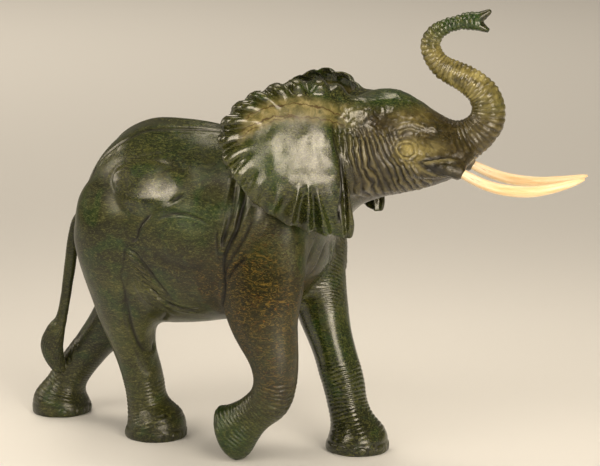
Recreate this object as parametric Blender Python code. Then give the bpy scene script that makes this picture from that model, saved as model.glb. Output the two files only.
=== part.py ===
# Carved stone elephant, walking, with its trunk raised in an S and two inset cream tusks.
#
# The elephant is one carved block. It is modelled the way a sculptor blocks out a figure: plain
# lofted masses (barrel, head, legs, trunk, tail, ears) are run together into one skin, the skin is
# eased so that the masses flow into each other, and the large folds are cut into it afterwards.
# The tusks are separate rods, seated in bores beside the mouth.
#
# Frame: +X forward, +Y to the elephant's left, +Z up. The origin is on the floor, under the middle
# of the figure's box. Lengths are in metres.

import math

import bmesh
import bpy
import numpy as np

# Overall size. The figure is a free form, so its stations are written in 430ths of its height.
HEIGHT = 0.430
UNIT = HEIGHT / 430.0

# Tusks and their seats.
TUSK_LENGTH = 0.117
TUSK_ROOT_DIAMETER = 0.0086
TUSK_WIDEST_DIAMETER = 0.0106
SOCKET_DEPTH = 0.012
SOCKET_CLEARANCE = 0.0003
SOCKET_WALL = 0.0035

# Thickness of the ear flaps, at the middle and at the rim.
EAR_THICKNESS = 0.0070
EAR_RIM_THICKNESS = 0.0050
EAR_FLUTES = 16

# How far the head is turned to the elephant's left, and how far the ears stand out from it.
HEAD_TURN_DEGREES = 11.0
EAR_FLARE_DEGREES = 26.0

# Fineness of the skin that joins the masses, and of the finished block.
SKIN_CELL = 0.0030 * HEIGHT / 0.430
EASING_PASSES = 16
BLOCK_TRIANGLES = 8100

# Masses of the figure.
# Barrel and head: forward place, top, bottom, half width and height of the widest point.
TORSO = [
    (-188, 254, 160, 34, 205), (-178, 277, 140, 52, 207), (-158, 299, 124, 68, 210),
    (-125, 316, 116, 76, 210), (-80, 317, 118, 80, 206), (-35, 312, 126, 82, 206),
    (5, 312, 134, 75, 210), (30, 313, 148, 64, 220), (52, 306, 172, 50, 232),
]
HEAD = [
    (5, 312, 190, 52, 258), (45, 324, 198, 50, 264), (74, 340, 221, 46, 276),
    (94, 350, 243, 44, 288), (112, 356, 252, 42, 297), (130, 356, 257, 40, 300),
    (148, 348, 261, 36, 298), (166, 336, 266, 31, 296), (182, 328, 272, 25, 298),
]
# Limbs: centre (forward, left, up), half width across and half depth.
RIGHT_HIND = [
    (-118, -38, 264, 16, 30), (-126, -43, 236, 34, 58), (-130, -44, 200, 35, 57),
    (-133, -39, 162, 32, 46), (-137, -31, 127, 27, 32), (-136, -22, 92, 22, 22),
    (-130, -16, 60, 21, 20.5), (-127, -14, 38, 21, 20), (-124, -13, 26, 24, 24),
    (-119, -13, 14, 30, 31), (-118, -13, 4, 31, 32.5), (-118, -13, -3, 30, 31),
]
LEFT_HIND = [
    (-112, 38, 264, 16, 28), (-122, 43, 236, 34, 54), (-137, 45, 196, 35, 52),
    (-157, 41, 150, 32, 42), (-185, 36, 110, 26, 28), (-214, 32, 76, 21, 20),
    (-238, 29, 46, 19.5, 19), (-247, 28, 30, 21, 21), (-251, 27, 16, 29, 30),
    (-252, 27, 4, 31, 32), (-252, 27, -3, 30, 31),
]
RIGHT_FORE = [
    (18, -34, 272, 14, 24), (16, -42, 240, 26, 42), (19, -50, 200, 29, 45),
    (20, -54, 165, 28, 42), (24, -54, 135, 26, 34), (33, -54, 105, 23, 25),
    (35, -54, 82, 21, 21), (29, -53, 62, 20, 20.5), (13, -52, 48, 18, 19),
    (-2, -52, 35, 21, 23), (-12, -52, 26, 24.5, 28), (-16, -52, 24, 25, 29),
]
LEFT_FORE = [
    (16, 34, 266, 14, 22), (20, 42, 232, 26, 34), (27, 46, 200, 28, 36),
    (32, 42, 165, 27, 32), (45, 37, 125, 24, 25), (57, 33, 95, 22, 21),
    (68, 30, 65, 21, 21), (74, 28, 42, 20, 20), (79, 27, 28, 22, 22),
    (83, 27, 14, 30, 30), (84, 27, 4, 31.5, 32), (84, 27, -3, 30.5, 31),
]
TAIL = [
    (-184, 0, 224, 7, 9), (-207, 0, 213, 6.5, 8), (-217, 0, 192, 5.5, 6.5),
    (-223, 0, 158, 5, 6), (-229, 0, 126, 4.5, 5.5), (-234, 0, 106, 5, 6),
    (-241, 0, 92, 8, 10), (-247, 2, 75, 9, 12), (-245, 6, 58, 8, 9), (-240, 10, 48, 5, 5),
]
# The trunk leaves the face level, climbs, leans back and reaches forward again.
TRUNK = [
    (148, 0, 302, 27, 28), (168, 0, 301, 24.5, 27), (187, 0, 306, 20, 22),
    (200, 0, 312.5, 17.5, 19), (209, 0, 319.5, 16, 17), (215, 0, 328, 15, 16.3),
    (216.5, 0, 339, 14.5, 15.7), (213, 0, 351, 14, 15), (205, 0, 360, 13.3, 14.1),
    (194, 0, 367, 12.5, 13.3), (183, 0, 372, 11.8, 12.5), (173, 0, 377, 11, 11.5),
    (165, 0, 385, 10.2, 10.5), (160.5, 0, 395, 9.5, 9.8), (162.5, 0, 405, 8.8, 9),
    (170, 0, 412, 8.1, 8.2), (181, 0, 417, 7.7, 7.8), (193, 0, 419.5, 7.7, 7.9),
    (203, 0, 420.3, 7.8, 8.4),
]
UPPER_FINGER = [(195, 0, 421, 6.5, 5.5), (204, 0, 424, 6.2, 4.6), (211, 0, 427, 4.8, 3.4), (217, 0, 430, 3, 2)]
LOWER_FINGER = [(195, 0, 419, 6.5, 5.5), (204, 0, 415.5, 6.2, 4.6), (211, 0, 412.5, 5, 3.4), (216, 0, 411, 3.4, 2.2)]
# Left-side masses of the head; the right side is their mirror image.
EAR_ROOT = [(78, 40, 334, 13, 20), (92, 34, 332, 15, 21), (105, 26, 331, 16, 21), (118, 18, 330, 15, 20)]
CHEEK = [(74, 41, 294, 17, 36), (90, 39, 292, 16, 35), (112, 34, 288, 10.5, 27)]
TRUNK_WEB = [(150, 15, 303, 20, 22), (170, 17, 300, 18, 18), (186, 18, 298, 15.5, 15.5),
             (197, 18, 297, 12, 12), (201, 18, 296, 9, 9)]
SHEATH = [(138, 30, 292, 11, 12), (160, 32, 289, 11.5, 11.5), (182, 31, 287, 10.5, 10.5)]
SHEATH_MOUTH = (197, 30, 283)
# Outline of the ear flap in its own plane: back from the hinge line, and height.
EAR_HINGE = (78, 54)
EAR_OUTLINE = [
    (-27, 349), (-15, 360), (0, 366), (22, 368), (44, 366), (62, 360), (80, 352), (93, 340),
    (102, 325), (103, 311), (98, 294), (85, 274), (70, 257), (48, 241), (24, 231), (3, 226),
    (-17, 222), (-22, 229), (-20, 246), (-16, 270), (-11, 296), (-8, 320), (-20, 340),
]
EAR_CENTRE = (24, 306)
EAR_FRONT_CORNER = (-17, 222)
# How far the flap swells out, the height of its fullest place, and how soon it falls away from
# there, backwards and upwards.
EAR_BELLY = 17
EAR_BELLY_HEIGHT = 271
EAR_BELLY_SPREAD = (118, 92)
# How far the flap's top front corner is drawn in to the temple, and its front edge to the cheek.
EAR_TUCK = 12
CHEEK_TUCK = 11
# The pleat behind the front edge: its depth, and its places as height and distance back.
PLEAT_DEPTH = 7.0
PLEAT_LINE = [(222, -14.8), (230, -14.5), (258, -12.4), (295, -9.4), (327, -3.2), (331, -1.0)]
FLUTE_DEPTH = (3.4, 5.2)
# The left ear hangs a little higher and further forward at its foot than the right one, and
# lower at its top front corner.
LEFT_EAR_SWING = (9, 8)
LEFT_EAR_DROP = 7
# Large folds and swellings: points along a line, its half width, how far it stands out (or in,
# below 0), and whether it belongs to the turned head. Each is on both sides of the figure.
CARVING = [
    ([(-104, 72, 262), (-84, 74, 268), (-68, 71, 270)], 17, 5.0, False),
    ([(-84, 78, 222), (-80, 74, 242), (-64, 72, 252), (-38, 72, 256), (-8, 73, 246)], 6, 2.6, False),
    ([(-72, 78, 226), (-58, 77, 238), (-38, 78, 238), (-20, 78, 228)], 5, -2.2, False),
    ([(2, 70, 256), (-3, 76, 234), (-10, 79, 213), (-14, 80, 196)], 3.6, -3.2, False),
    ([(12, 67, 256), (7, 73, 236), (-2, 77, 214), (-7, 79, 198)], 3.6, -3.2, False),
    ([(61, 54, 219), (53, 70, 197), (34, 80, 174), (12, 81, 163)], 4.5, -2.2, False),
    ([(-4, 75, 150), (5, 76, 137), (15, 76, 119)], 5, -2.0, False),
    ([(-160, 0, 300), (-110, 0, 318), (-50, 0, 315), (10, 0, 313)], 6, 2.2, False),
    ([(146, 38, 305), (148, 38, 304)], 6.5, 3.4, True),
    ([(137, 36, 322), (146, 32, 327), (157, 26, 327), (168, 20, 323)], 6, 3.0, True),
    ([(131, 31, 337), (124, 33, 332)], 9, -4.0, True),
    ([(158, 42, 289), (165, 41, 283), (176, 37, 279), (187, 33, 278)], 3, -2.6, True),
    ([(113, 42, 352), (126, 30, 354)], 10, 2.0, True),
]
# The neck bends between these two places along the body.
NECK_START = 20.0
NECK_END = 95.0
# Shape of the tusk from the socket's mouth to its tip: forward, outward, up, and the share of the
# widest diameter. It is scaled so that its run is TUSK_LENGTH.
TUSK_SHAPE = [
    (12, 1.5, -5.5, 0.90), (25, 2.6, -10.5, 0.95), (38, 3, -13.5, 0.99), (52, 2.3, -15, 1.00),
    (66, 0, -15, 0.97), (80, -4, -13, 0.88), (94, -9.5, -10, 0.72), (106, -15, -6.5, 0.48),
    (112, -18, -4.5, 0.22),
]

STONE = dict(color=(0.045, 0.055, 0.035, 1.0), roughness=0.28)
TUSK_CREAM = dict(color=(0.78, 0.62, 0.38, 1.0), roughness=0.42)


# Curves and lofted masses.
def step(low, high, value):
    """An eased ramp from 0 at low to 1 at high. With low above high it falls instead."""
    share = np.clip((value - low) / (high - low), 0, 1)
    return share**2 * (3 - 2 * share)


def flow(points, per_span=6, closed=False):
    """Smooth rows of numbers with a curve that passes through each of them."""
    rows = np.array(points, float)
    if closed:
        rows = np.vstack([rows[-1], rows, rows[0], rows[1]])
    else:
        rows = np.vstack([2 * rows[0] - rows[1], rows, 2 * rows[-1] - rows[-2]])
    t = np.linspace(0, 1, per_span, endpoint=False)[:, None]
    out = []
    for a, b, c, d in zip(rows[:-3], rows[1:-2], rows[2:-1], rows[3:]):
        out.append(0.5 * (2 * b + (c - a) * t + (2 * a - 5 * b + 4 * c - d) * t**2
                          + (3 * b - a - 3 * c + d) * t**3))
    if not closed:
        out.append(rows[-2][None])
    return np.vstack(out)


def new_object(name, vertices, faces):
    mesh = bpy.data.meshes.new(name)
    mesh.from_pydata([tuple(v) for v in vertices], [], faces)
    work = bmesh.new()
    work.from_mesh(mesh)
    bmesh.ops.recalc_face_normals(work, faces=work.faces)
    work.to_mesh(mesh)
    work.free()
    made = bpy.data.objects.new(name, mesh)
    bpy.context.scene.collection.objects.link(made)
    return made


def skin_rings(name, rings):
    """A closed skin over rings of equal count, with a fan of faces at each end."""
    count, sides, _ = rings.shape
    vertices = list(rings.reshape(-1, 3)) + [rings[0].mean(0), rings[-1].mean(0)]
    first, last = count * sides, count * sides + 1
    faces = []
    for j in range(sides):
        k = (j + 1) % sides
        faces += [(i * sides + j, i * sides + k, (i + 1) * sides + k, (i + 1) * sides + j)
                  for i in range(count - 1)]
        faces.append((first, k, j))
        faces.append((last, (count - 1) * sides + j, (count - 1) * sides + k))
    return new_object(name, vertices, faces)


def barrel(name, rows, back_cap, front_cap, crest=1.0):
    """A body of upright rings. A crest over 1 draws the back in towards a ridge."""
    rows = flow(rows)
    around = np.linspace(0, 2 * math.pi, 48, endpoint=False)
    rise, out = np.cos(around), np.sin(around)

    def ring(x, row, share=1.0):
        _, top, bottom, half, middle = row
        z = middle + np.where(rise > 0, top - middle, middle - bottom) * rise * share
        y = half * share * np.sign(out) * np.abs(out) ** np.where(rise > 0, crest, 0.95)
        return np.stack([np.full_like(y, x), y, z], -1)

    round_off = [math.radians(a) for a in (20, 40, 60, 80)]
    rings = [ring(rows[0][0] - back_cap * math.sin(a), rows[0], math.cos(a)) for a in round_off[::-1]]
    rings += [ring(row[0], row) for row in rows]
    rings += [ring(rows[-1][0] + front_cap * math.sin(a), rows[-1], math.cos(a)) for a in round_off]
    return skin_rings(name, np.array(rings) * UNIT)


def limb_rings(rows, start_cap=1.0, end_cap=1.0, sides=28, level=(0, 1.0, 0), per_span=6):
    """Rings square to a bent centre line, with rounded ends where a cap is over 0."""
    rows = flow(rows, per_span)
    centre = rows[:, :3]
    along = np.gradient(centre, axis=0)
    along /= np.linalg.norm(along, axis=1)[:, None]
    across = np.array(level) - (along @ np.array(level))[:, None] * along
    across /= np.linalg.norm(across, axis=1)[:, None]
    deep = np.cross(along, across)
    turn = np.linspace(0, 2 * math.pi, sides, endpoint=False)[:, None]

    def ring(i, shift=0.0, share=1.0):
        offset = np.cos(turn) * across[i] * rows[i, 3] + np.sin(turn) * deep[i] * rows[i, 4]
        return centre[i] + along[i] * shift + offset * share

    round_off = [math.radians(a) for a in (20, 40, 60, 80)]
    rings = []
    if start_cap:
        reach = start_cap * min(rows[0, 3:5])
        rings += [ring(0, -reach * math.sin(a), math.cos(a)) for a in round_off[::-1]]
    rings += [ring(i) for i in range(len(rows))]
    if end_cap:
        reach = end_cap * min(rows[-1, 3:5])
        rings += [ring(-1, reach * math.sin(a), math.cos(a)) for a in round_off]
    return np.array(rings)


def limb(name, rows, start_cap=0.6, end_cap=0.0, side=1, level=(0, 1.0, 0)):
    rings = limb_rings(rows, start_cap, end_cap, level=level)
    rings[..., 1] *= side
    return skin_rings(name, rings * UNIT)


# The turned head.
NECK_X = np.linspace(-400, 500, 3601)


def neck_angle(x):
    share = np.clip((x - NECK_START) / (NECK_END - NECK_START), 0, 1)
    return math.radians(HEAD_TURN_DEGREES) * share**2 * (3 - 2 * share)


def neck_line():
    """The middle line of the turned neck and head, as its forward and its sideways place."""
    middle = (NECK_X[1:] + NECK_X[:-1]) / 2
    step = NECK_X[1] - NECK_X[0]
    forward = NECK_X[0] + np.concatenate([[0], np.cumsum(np.cos(neck_angle(middle)) * step)])
    sideways = np.concatenate([[0], np.cumsum(np.sin(neck_angle(middle)) * step)])
    return forward, sideways


def turned(points, stiff=False):
    """Points of the straight head, in units, moved to the turned head. A stiff piece doesn't bend."""
    points = np.array(points, float)
    forward, sideways = neck_line()
    x = np.full_like(points[..., 0], NECK_END) if stiff else points[..., 0]
    ahead = points[..., 0] - x
    angle = neck_angle(x)
    out = points.copy()
    out[..., 0] = np.interp(x, NECK_X, forward) + ahead * np.cos(angle) - points[..., 1] * np.sin(angle)
    out[..., 1] = np.interp(x, NECK_X, sideways) + ahead * np.sin(angle) + points[..., 1] * np.cos(angle)
    return out


def vertex_array(made):
    flat = np.empty(len(made.data.vertices) * 3, np.float32)
    made.data.vertices.foreach_get("co", flat)
    return flat.reshape(-1, 3).astype(float)


def turn_with_head(made):
    moved = turned(vertex_array(made) / UNIT) * UNIT
    made.data.vertices.foreach_set("co", moved.astype(np.float32).ravel())
    made.data.update()
    return made


# The ears.
def ear_rim():
    """The ear's outline at an even pace, with the distance run along it from the top front."""
    rim = flow(EAR_OUTLINE, 24, closed=True)
    loop = np.vstack([rim, rim[:1]])
    run = np.concatenate([[0], np.cumsum(np.linalg.norm(np.diff(loop, axis=0), axis=1))])
    even = np.linspace(0, run[-1], int(run[-1] / 1.6), endpoint=False)
    return np.stack([np.interp(even, run, loop[:, i]) for i in (0, 1)], -1), even


def ear(name, side):
    """One ear flap: a bellied sheet with flutes that fan out to a scalloped rim."""
    flare = math.radians(EAR_FLARE_DEGREES)
    rim, run = ear_rim()
    corner = run[np.argmin(np.linalg.norm(rim - np.array(EAR_FRONT_CORNER), axis=1))]
    fluted = np.clip(run / 12, 0, 1) * np.clip((corner - run) / 8, 0, 1)
    phase = 2 * math.pi * EAR_FLUTES * run / corner + 0.7 * np.sin(run / 23.0)
    high = np.clip((rim[:, 1] - 300) / 40, 0, 1)
    deepest = FLUTE_DEPTH[0] + (FLUTE_DEPTH[1] - FLUTE_DEPTH[0]) * high
    centre = np.array(EAR_CENTRE, float)
    shares = np.linspace(0, 1, 22)
    sheets = {1: [], -1: []}
    for share in shares:
        place = centre + (rim - centre) * share
        reach = np.clip((share - 0.45 - 0.2 * high) / (0.55 - 0.2 * high), 0, 1) ** 1.2
        place = centre + (place - centre) * (1 + 0.014 * fluted * reach * np.cos(phase))[:, None]
        back, height = place[:, 0], place[:, 1]
        if side > 0:
            height = height - LEFT_EAR_DROP * step(34, -15, back) * step(318, 350, height)
        flute = deepest * reach * fluted * np.sin(phase)
        curl = 6 * np.clip((height - 335) / 30, 0, 1) ** 2 * share**4 + 5 * share**4 * step(290, 250, height)
        belly = EAR_BELLY * (1 - ((height - EAR_BELLY_HEIGHT) / EAR_BELLY_SPREAD[1]) ** 2
                             - ((back - EAR_CENTRE[0]) / EAR_BELLY_SPREAD[0]) ** 2)
        level, line = zip(*PLEAT_LINE)
        behind = back - np.interp(height, level, line)
        pleat = PLEAT_DEPTH * np.clip((331 - height) / 9, 0, 1) * np.exp(
            -((behind / np.where(behind > 0, 5.0, 2.6)) ** 2))
        inward = EAR_TUCK * step(8, -26, back) * step(318, 336, height)
        inward += CHEEK_TUCK * step(0.5, -4.5, behind) * step(268, 284, height) * step(338, 326, height)
        proud = belly + flute - curl - pleat - inward
        thickness = (EAR_THICKNESS + (EAR_RIM_THICKNESS - EAR_THICKNESS) * share) / UNIT
        for face in (1, -1):
            off = proud + face * thickness * (0.3 if share == 1 else 0.5)
            x = EAR_HINGE[0] - back * math.cos(flare) + off * math.sin(flare)
            y = EAR_HINGE[1] + back * math.sin(flare) + off * math.cos(flare)
            swing = np.clip((300 - height) / 70, 0, 1) if side > 0 else 0 * height
            sheets[face].append(np.stack([x + LEFT_EAR_SWING[1] * swing, side * y,
                                          height + LEFT_EAR_SWING[0] * swing], -1))
    front, rear = np.array(sheets[1]), np.array(sheets[-1])
    rows, sides = len(shares) - 1, len(rim)
    vertices = [front[0].mean(0), rear[0].mean(0), *front[1:].reshape(-1, 3), *rear[1:].reshape(-1, 3)]
    faces = []
    for j in range(sides):
        k = (j + 1) % sides
        fore = [2 + i * sides for i in range(rows)]
        aft = [2 + (rows + i) * sides for i in range(rows)]
        faces += [(0, fore[0] + j, fore[0] + k), (1, aft[0] + k, aft[0] + j)]
        for a, b in zip(range(rows - 1), range(1, rows)):
            faces.append((fore[a] + j, fore[b] + j, fore[b] + k, fore[a] + k))
            faces.append((aft[a] + j, aft[a] + k, aft[b] + k, aft[b] + j))
        faces.append((fore[-1] + j, aft[-1] + j, aft[-1] + k, fore[-1] + k))
    return new_object(name, turned(np.array(vertices), stiff=True) * UNIT, faces)


# The tusks and their bores.
def tusk_rows(side, spare=0.0):
    """Centre and radius along a tusk, in its own frame, whose origin is the socket's mouth.

    With spare room it is the bore instead: wider and deeper by that much, and cut short outside.
    """
    shape = np.array([(0, 0, 0, TUSK_ROOT_DIAMETER / TUSK_WIDEST_DIAMETER), *TUSK_SHAPE], float)
    fine = flow(shape[:, :3])
    scale = TUSK_LENGTH / np.linalg.norm(np.diff(fine, axis=0), axis=1).sum()
    centre = shape[:, :3] * scale * (1, side, 1)
    radius = shape[:, 3] * TUSK_WIDEST_DIAMETER / 2
    inward = centre[0] - centre[1]
    inward /= np.linalg.norm(inward)
    seat = inward * (SOCKET_DEPTH + spare)
    rows = [(*seat, radius[0]), (*(seat / 2), radius[0]), *zip(*centre.T, radius)]
    if spare:
        rows = rows[:3] + [(*(-inward * TUSK_WIDEST_DIAMETER), radius[0])]
    return [(x, y, z, r + spare, r + spare) for x, y, z, r in rows]


def place_on_head(made, side):
    """Stand a piece at its socket's mouth, turned as the head is."""
    mouth = (SHEATH_MOUTH[0], side * SHEATH_MOUTH[1], SHEATH_MOUTH[2])
    made.location = turned([mouth])[0] * UNIT
    made.rotation_euler = (0, 0, math.radians(HEAD_TURN_DEGREES))


def tusk(name, side):
    made = skin_rings(name, limb_rings(tusk_rows(side), 0.0, 0.9, sides=12, per_span=2))
    place_on_head(made, side)
    return made


def socket_bore(name, side):
    made = skin_rings(name, limb_rings(tusk_rows(side, SOCKET_CLEARANCE), 0.0, 0.0, sides=12, per_span=2))
    place_on_head(made, side)
    made.hide_render = True
    made.display_type = "WIRE"
    return made


# Joining, easing and carving.
def joined(name, pieces):
    """One mesh that holds several closed skins, which may run through each other."""
    vertices, faces = [], []
    for piece in pieces:
        start = len(vertices)
        vertices += [tuple(v) for v in vertex_array(piece)]
        faces += [[start + i for i in face.vertices] for face in piece.data.polygons]
        bpy.data.objects.remove(piece)
    return new_object(name, vertices, faces)


def settled(made):
    """The object with its modifiers worked into its mesh."""
    name = made.name
    mesh = bpy.data.meshes.new_from_object(made.evaluated_get(bpy.context.evaluated_depsgraph_get()))
    bpy.data.objects.remove(made)
    fresh = bpy.data.objects.new(name, mesh)
    bpy.context.scene.collection.objects.link(fresh)
    return fresh


def one_skin(made, passes):
    """Fuse overlapping skins into one outer skin, and ease it."""
    fuse = made.modifiers.new("Fuse", "REMESH")
    fuse.mode = "VOXEL"
    fuse.voxel_size = SKIN_CELL
    ease = made.modifiers.new("Ease", "SMOOTH")
    ease.iterations = passes
    ease.factor = 0.5
    return settled(made)


def carve(made):
    """Push the skin out or in along its own normals, beside each line of the carving."""
    place = vertex_array(made) / UNIT
    flat = np.empty(len(place) * 3, np.float32)
    made.data.vertices.foreach_get("normal", flat)
    normal = flat.reshape(-1, 3).astype(float)
    depth = np.zeros(len(place))
    for points, width, height, on_head in CARVING:
        for side in (-1, 1) if points[0][1] else (1,):
            line = flow(np.array(points, float) * (1, side, 1), 5)
            if on_head:
                line = turned(line)
            near = np.nonzero(((place > line.min(0) - 3 * width) & (place < line.max(0) + 3 * width)).all(1))[0]
            if not len(near):
                continue
            away = np.full(len(near), np.inf)
            for a, b in zip(line[:-1], line[1:]):
                span = b - a
                share = np.clip((place[near] - a) @ span / (span @ span), 0, 1)
                away = np.minimum(away, np.linalg.norm(place[near] - a - share[:, None] * span, axis=1))
            depth[near] += height * np.exp(-((away / width) ** 2))
    place += normal * depth[:, None]
    made.data.vertices.foreach_set("co", (place * UNIT).astype(np.float32).ravel())
    made.data.update()


def lighter(made, triangles):
    """The same skin with fewer triangles, kept where the form turns most."""
    made.data.calc_loop_triangles()
    thin = made.modifiers.new("Lighter", "DECIMATE")
    thin.ratio = triangles / len(made.data.loop_triangles)
    return settled(made)


def cut(made, cutter):
    """Take the cutter's shape out of the piece."""
    take = made.modifiers.new("Cut", "BOOLEAN")
    take.operation = "DIFFERENCE"
    take.object = cutter
    bpy.context.view_layer.update()
    fresh = settled(made)
    bpy.data.objects.remove(cutter)
    return fresh


def floor_cutter():
    """A slab below the floor, which leaves flat soles."""
    span = HEIGHT
    corners = [(x, y, z) for z in (-span / 4, 0) for x, y in ((-span, -span), (span, -span), (span, span), (-span, span))]
    faces = [(0, 3, 2, 1), (4, 5, 6, 7), (0, 1, 5, 4), (1, 2, 6, 5), (2, 3, 7, 6), (3, 0, 4, 7)]
    return new_object("floor_cutter", corners, faces)


def paint(made, name, color, roughness):
    material = bpy.data.materials.new(name)
    material.use_nodes = True
    shader = material.node_tree.nodes["Principled BSDF"]
    shader.inputs["Base Color"].default_value = color
    shader.inputs["Roughness"].default_value = roughness
    made.data.materials.clear()
    made.data.materials.append(material)


def masses():
    pieces = [barrel("torso", TORSO, 10, 14, crest=1.1), turn_with_head(barrel("head", HEAD, 5, 10))]
    for name, rows in (("right_hind", RIGHT_HIND), ("left_hind", LEFT_HIND), ("left_fore", LEFT_FORE)):
        pieces.append(limb(name, rows))
    pieces.append(limb("right_fore", RIGHT_FORE, end_cap=0.25))
    pieces.append(turn_with_head(limb("trunk", TRUNK, end_cap=0.3)))
    wall = (TUSK_ROOT_DIAMETER / 2 + SOCKET_WALL) / UNIT
    sheath = SHEATH + [(*SHEATH_MOUTH, wall, wall)]
    for side in (-1, 1):
        for name, rows in (("ear_root", EAR_ROOT), ("cheek", CHEEK), ("trunk_web", TRUNK_WEB), ("sheath", sheath)):
            pieces.append(turn_with_head(limb(name, rows, end_cap=0.5, side=side)))
    return pieces


def main():
    for old in list(bpy.data.objects):
        bpy.data.objects.remove(old)
    block = one_skin(joined("block", masses()), EASING_PASSES)
    thin = [limb("tail", TAIL), ear("right_ear", -1), ear("left_ear", 1)]
    thin += [turn_with_head(limb(name, rows)) for name, rows in
             (("upper_finger", UPPER_FINGER), ("lower_finger", LOWER_FINGER))]
    block = one_skin(joined("elephant", [block, *thin]), 3)
    carve(block)
    block = lighter(block, BLOCK_TRIANGLES)
    block = cut(block, floor_cutter())
    tusks = []
    for name, side in (("tusk_right", -1), ("tusk_left", 1)):
        block = cut(block, socket_bore("bore", side))
        tusks.append(tusk(name, side))
    paint(block, "green_stone", **STONE)
    for piece in tusks:
        paint(piece, "tusk_cream", **TUSK_CREAM)
    # The origin goes to the floor, under the middle of the whole figure's box.
    bpy.context.view_layer.update()
    corners = np.array([tuple(piece.matrix_world @ vertex.co)
                        for piece in (block, *tusks) for vertex in piece.data.vertices])
    middle = (corners.min(0) + corners.max(0)) / 2
    figure = bpy.data.objects.new("figure", None)
    bpy.context.scene.collection.objects.link(figure)
    for piece in (block, *tusks):
        piece.parent = figure
    figure.location = (-middle[0], -middle[1], -corners[:, 2].min())


main()
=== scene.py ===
# %% [markdown]
# # A carved stone elephant
#
# The real object is one block of polished green stone, carved as a walking elephant with its
# trunk raised in an S, and two cream tusks that are set into bores beside the mouth. A stone
# carver roughs out the big masses first, runs them into each other, and only then cuts folds,
# rings and wrinkles. This lesson works in the same order, because each step then has a smooth,
# finished form below it.

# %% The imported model, and the size of everything
import itertools
import math
import time

import bmesh
import bpy
import numpy as np
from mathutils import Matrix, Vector, kdtree


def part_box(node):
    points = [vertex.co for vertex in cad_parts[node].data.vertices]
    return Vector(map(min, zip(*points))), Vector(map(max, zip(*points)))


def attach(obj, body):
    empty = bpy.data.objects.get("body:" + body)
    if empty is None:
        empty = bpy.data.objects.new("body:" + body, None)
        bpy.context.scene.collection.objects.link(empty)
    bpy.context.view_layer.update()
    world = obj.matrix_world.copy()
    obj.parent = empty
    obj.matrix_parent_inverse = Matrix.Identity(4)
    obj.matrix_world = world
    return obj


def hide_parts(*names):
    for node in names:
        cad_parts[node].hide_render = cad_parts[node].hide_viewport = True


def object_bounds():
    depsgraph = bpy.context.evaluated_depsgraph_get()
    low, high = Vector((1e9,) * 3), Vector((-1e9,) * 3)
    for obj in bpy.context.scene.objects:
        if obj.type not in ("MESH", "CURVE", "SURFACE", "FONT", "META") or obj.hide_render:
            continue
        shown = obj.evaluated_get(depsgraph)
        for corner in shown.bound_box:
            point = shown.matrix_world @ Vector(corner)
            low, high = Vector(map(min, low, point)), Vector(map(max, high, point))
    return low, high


STARTED = time.time()
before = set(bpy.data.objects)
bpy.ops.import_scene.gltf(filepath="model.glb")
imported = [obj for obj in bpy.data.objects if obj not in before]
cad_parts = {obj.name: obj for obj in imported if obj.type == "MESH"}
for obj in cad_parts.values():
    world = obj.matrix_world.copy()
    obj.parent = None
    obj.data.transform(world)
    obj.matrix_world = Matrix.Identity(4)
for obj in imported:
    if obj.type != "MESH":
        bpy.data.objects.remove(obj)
CAD_BOX = [list(corner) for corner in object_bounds()]
# The figure is a free form, so its places are written in 430ths of its height. On the real
# piece one such unit is one millimetre.
UNIT = (CAD_BOX[1][2] - CAD_BOX[0][2]) / 430
print("one unit is", round(UNIT * 1000, 4), "mm")


def clock(words):
    """Print how long the script has run, and what it has made."""
    print(f"{time.time() - STARTED:6.1f} s  {words}")


# %% [markdown]
# ## Curves and lofted masses
#
# A free form can be described by a few stations: where its middle is, and how wide and deep it
# is there. A curve that passes through each station gives all the rings in between, and a skin
# over the rings gives a closed mass. It is a quick way to block out a body, since moving one
# number moves one part of the form.

# %% A curve through stations, and two ways to fade
def flow(points, per_span=6, closed=False):
    """Smooth rows of numbers with a curve that passes through each of them."""
    rows = np.array(points, float)
    if closed:
        rows = np.vstack([rows[-1], rows, rows[0], rows[1]])
    else:
        rows = np.vstack([2 * rows[0] - rows[1], rows, 2 * rows[-1] - rows[-2]])
    t = np.linspace(0, 1, per_span, endpoint=False)[:, None]
    out = []
    for a, b, c, d in zip(rows[:-3], rows[1:-2], rows[2:-1], rows[3:]):
        out.append(0.5 * (2 * b + (c - a) * t + (2 * a - 5 * b + 4 * c - d) * t**2
                          + (3 * b - a - 3 * c + d) * t**3))
    if not closed:
        out.append(rows[-2][None])
    return np.vstack(out)


def step(low, high, value):
    """An eased ramp from 0 at low to 1 at high. With low above high it falls instead."""
    share = np.clip((value - low) / (high - low), 0, 1)
    return share**2 * (3 - 2 * share)


def bell(distance, width):
    """1 on a line, and fading out over the width beside it."""
    return np.exp(-((distance / width) ** 2))


print("a curve through 3 stations has", len(flow([(0, 0), (1, 2), (3, 1)])), "rings")


# %% Objects, and a skin over rings
def placed(name, data):
    """A new object that stands in the scene."""
    made = bpy.data.objects.new(name, data)
    bpy.context.scene.collection.objects.link(made)
    return made


def new_object(name, vertices, faces):
    """An object made of points and faces, with all its faces turned outwards."""
    mesh = bpy.data.meshes.new(name)
    mesh.from_pydata([tuple(v) for v in vertices], [], faces)
    work = bmesh.new()
    work.from_mesh(mesh)
    bmesh.ops.recalc_face_normals(work, faces=work.faces)
    work.to_mesh(mesh)
    work.free()
    return placed(name, mesh)


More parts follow.
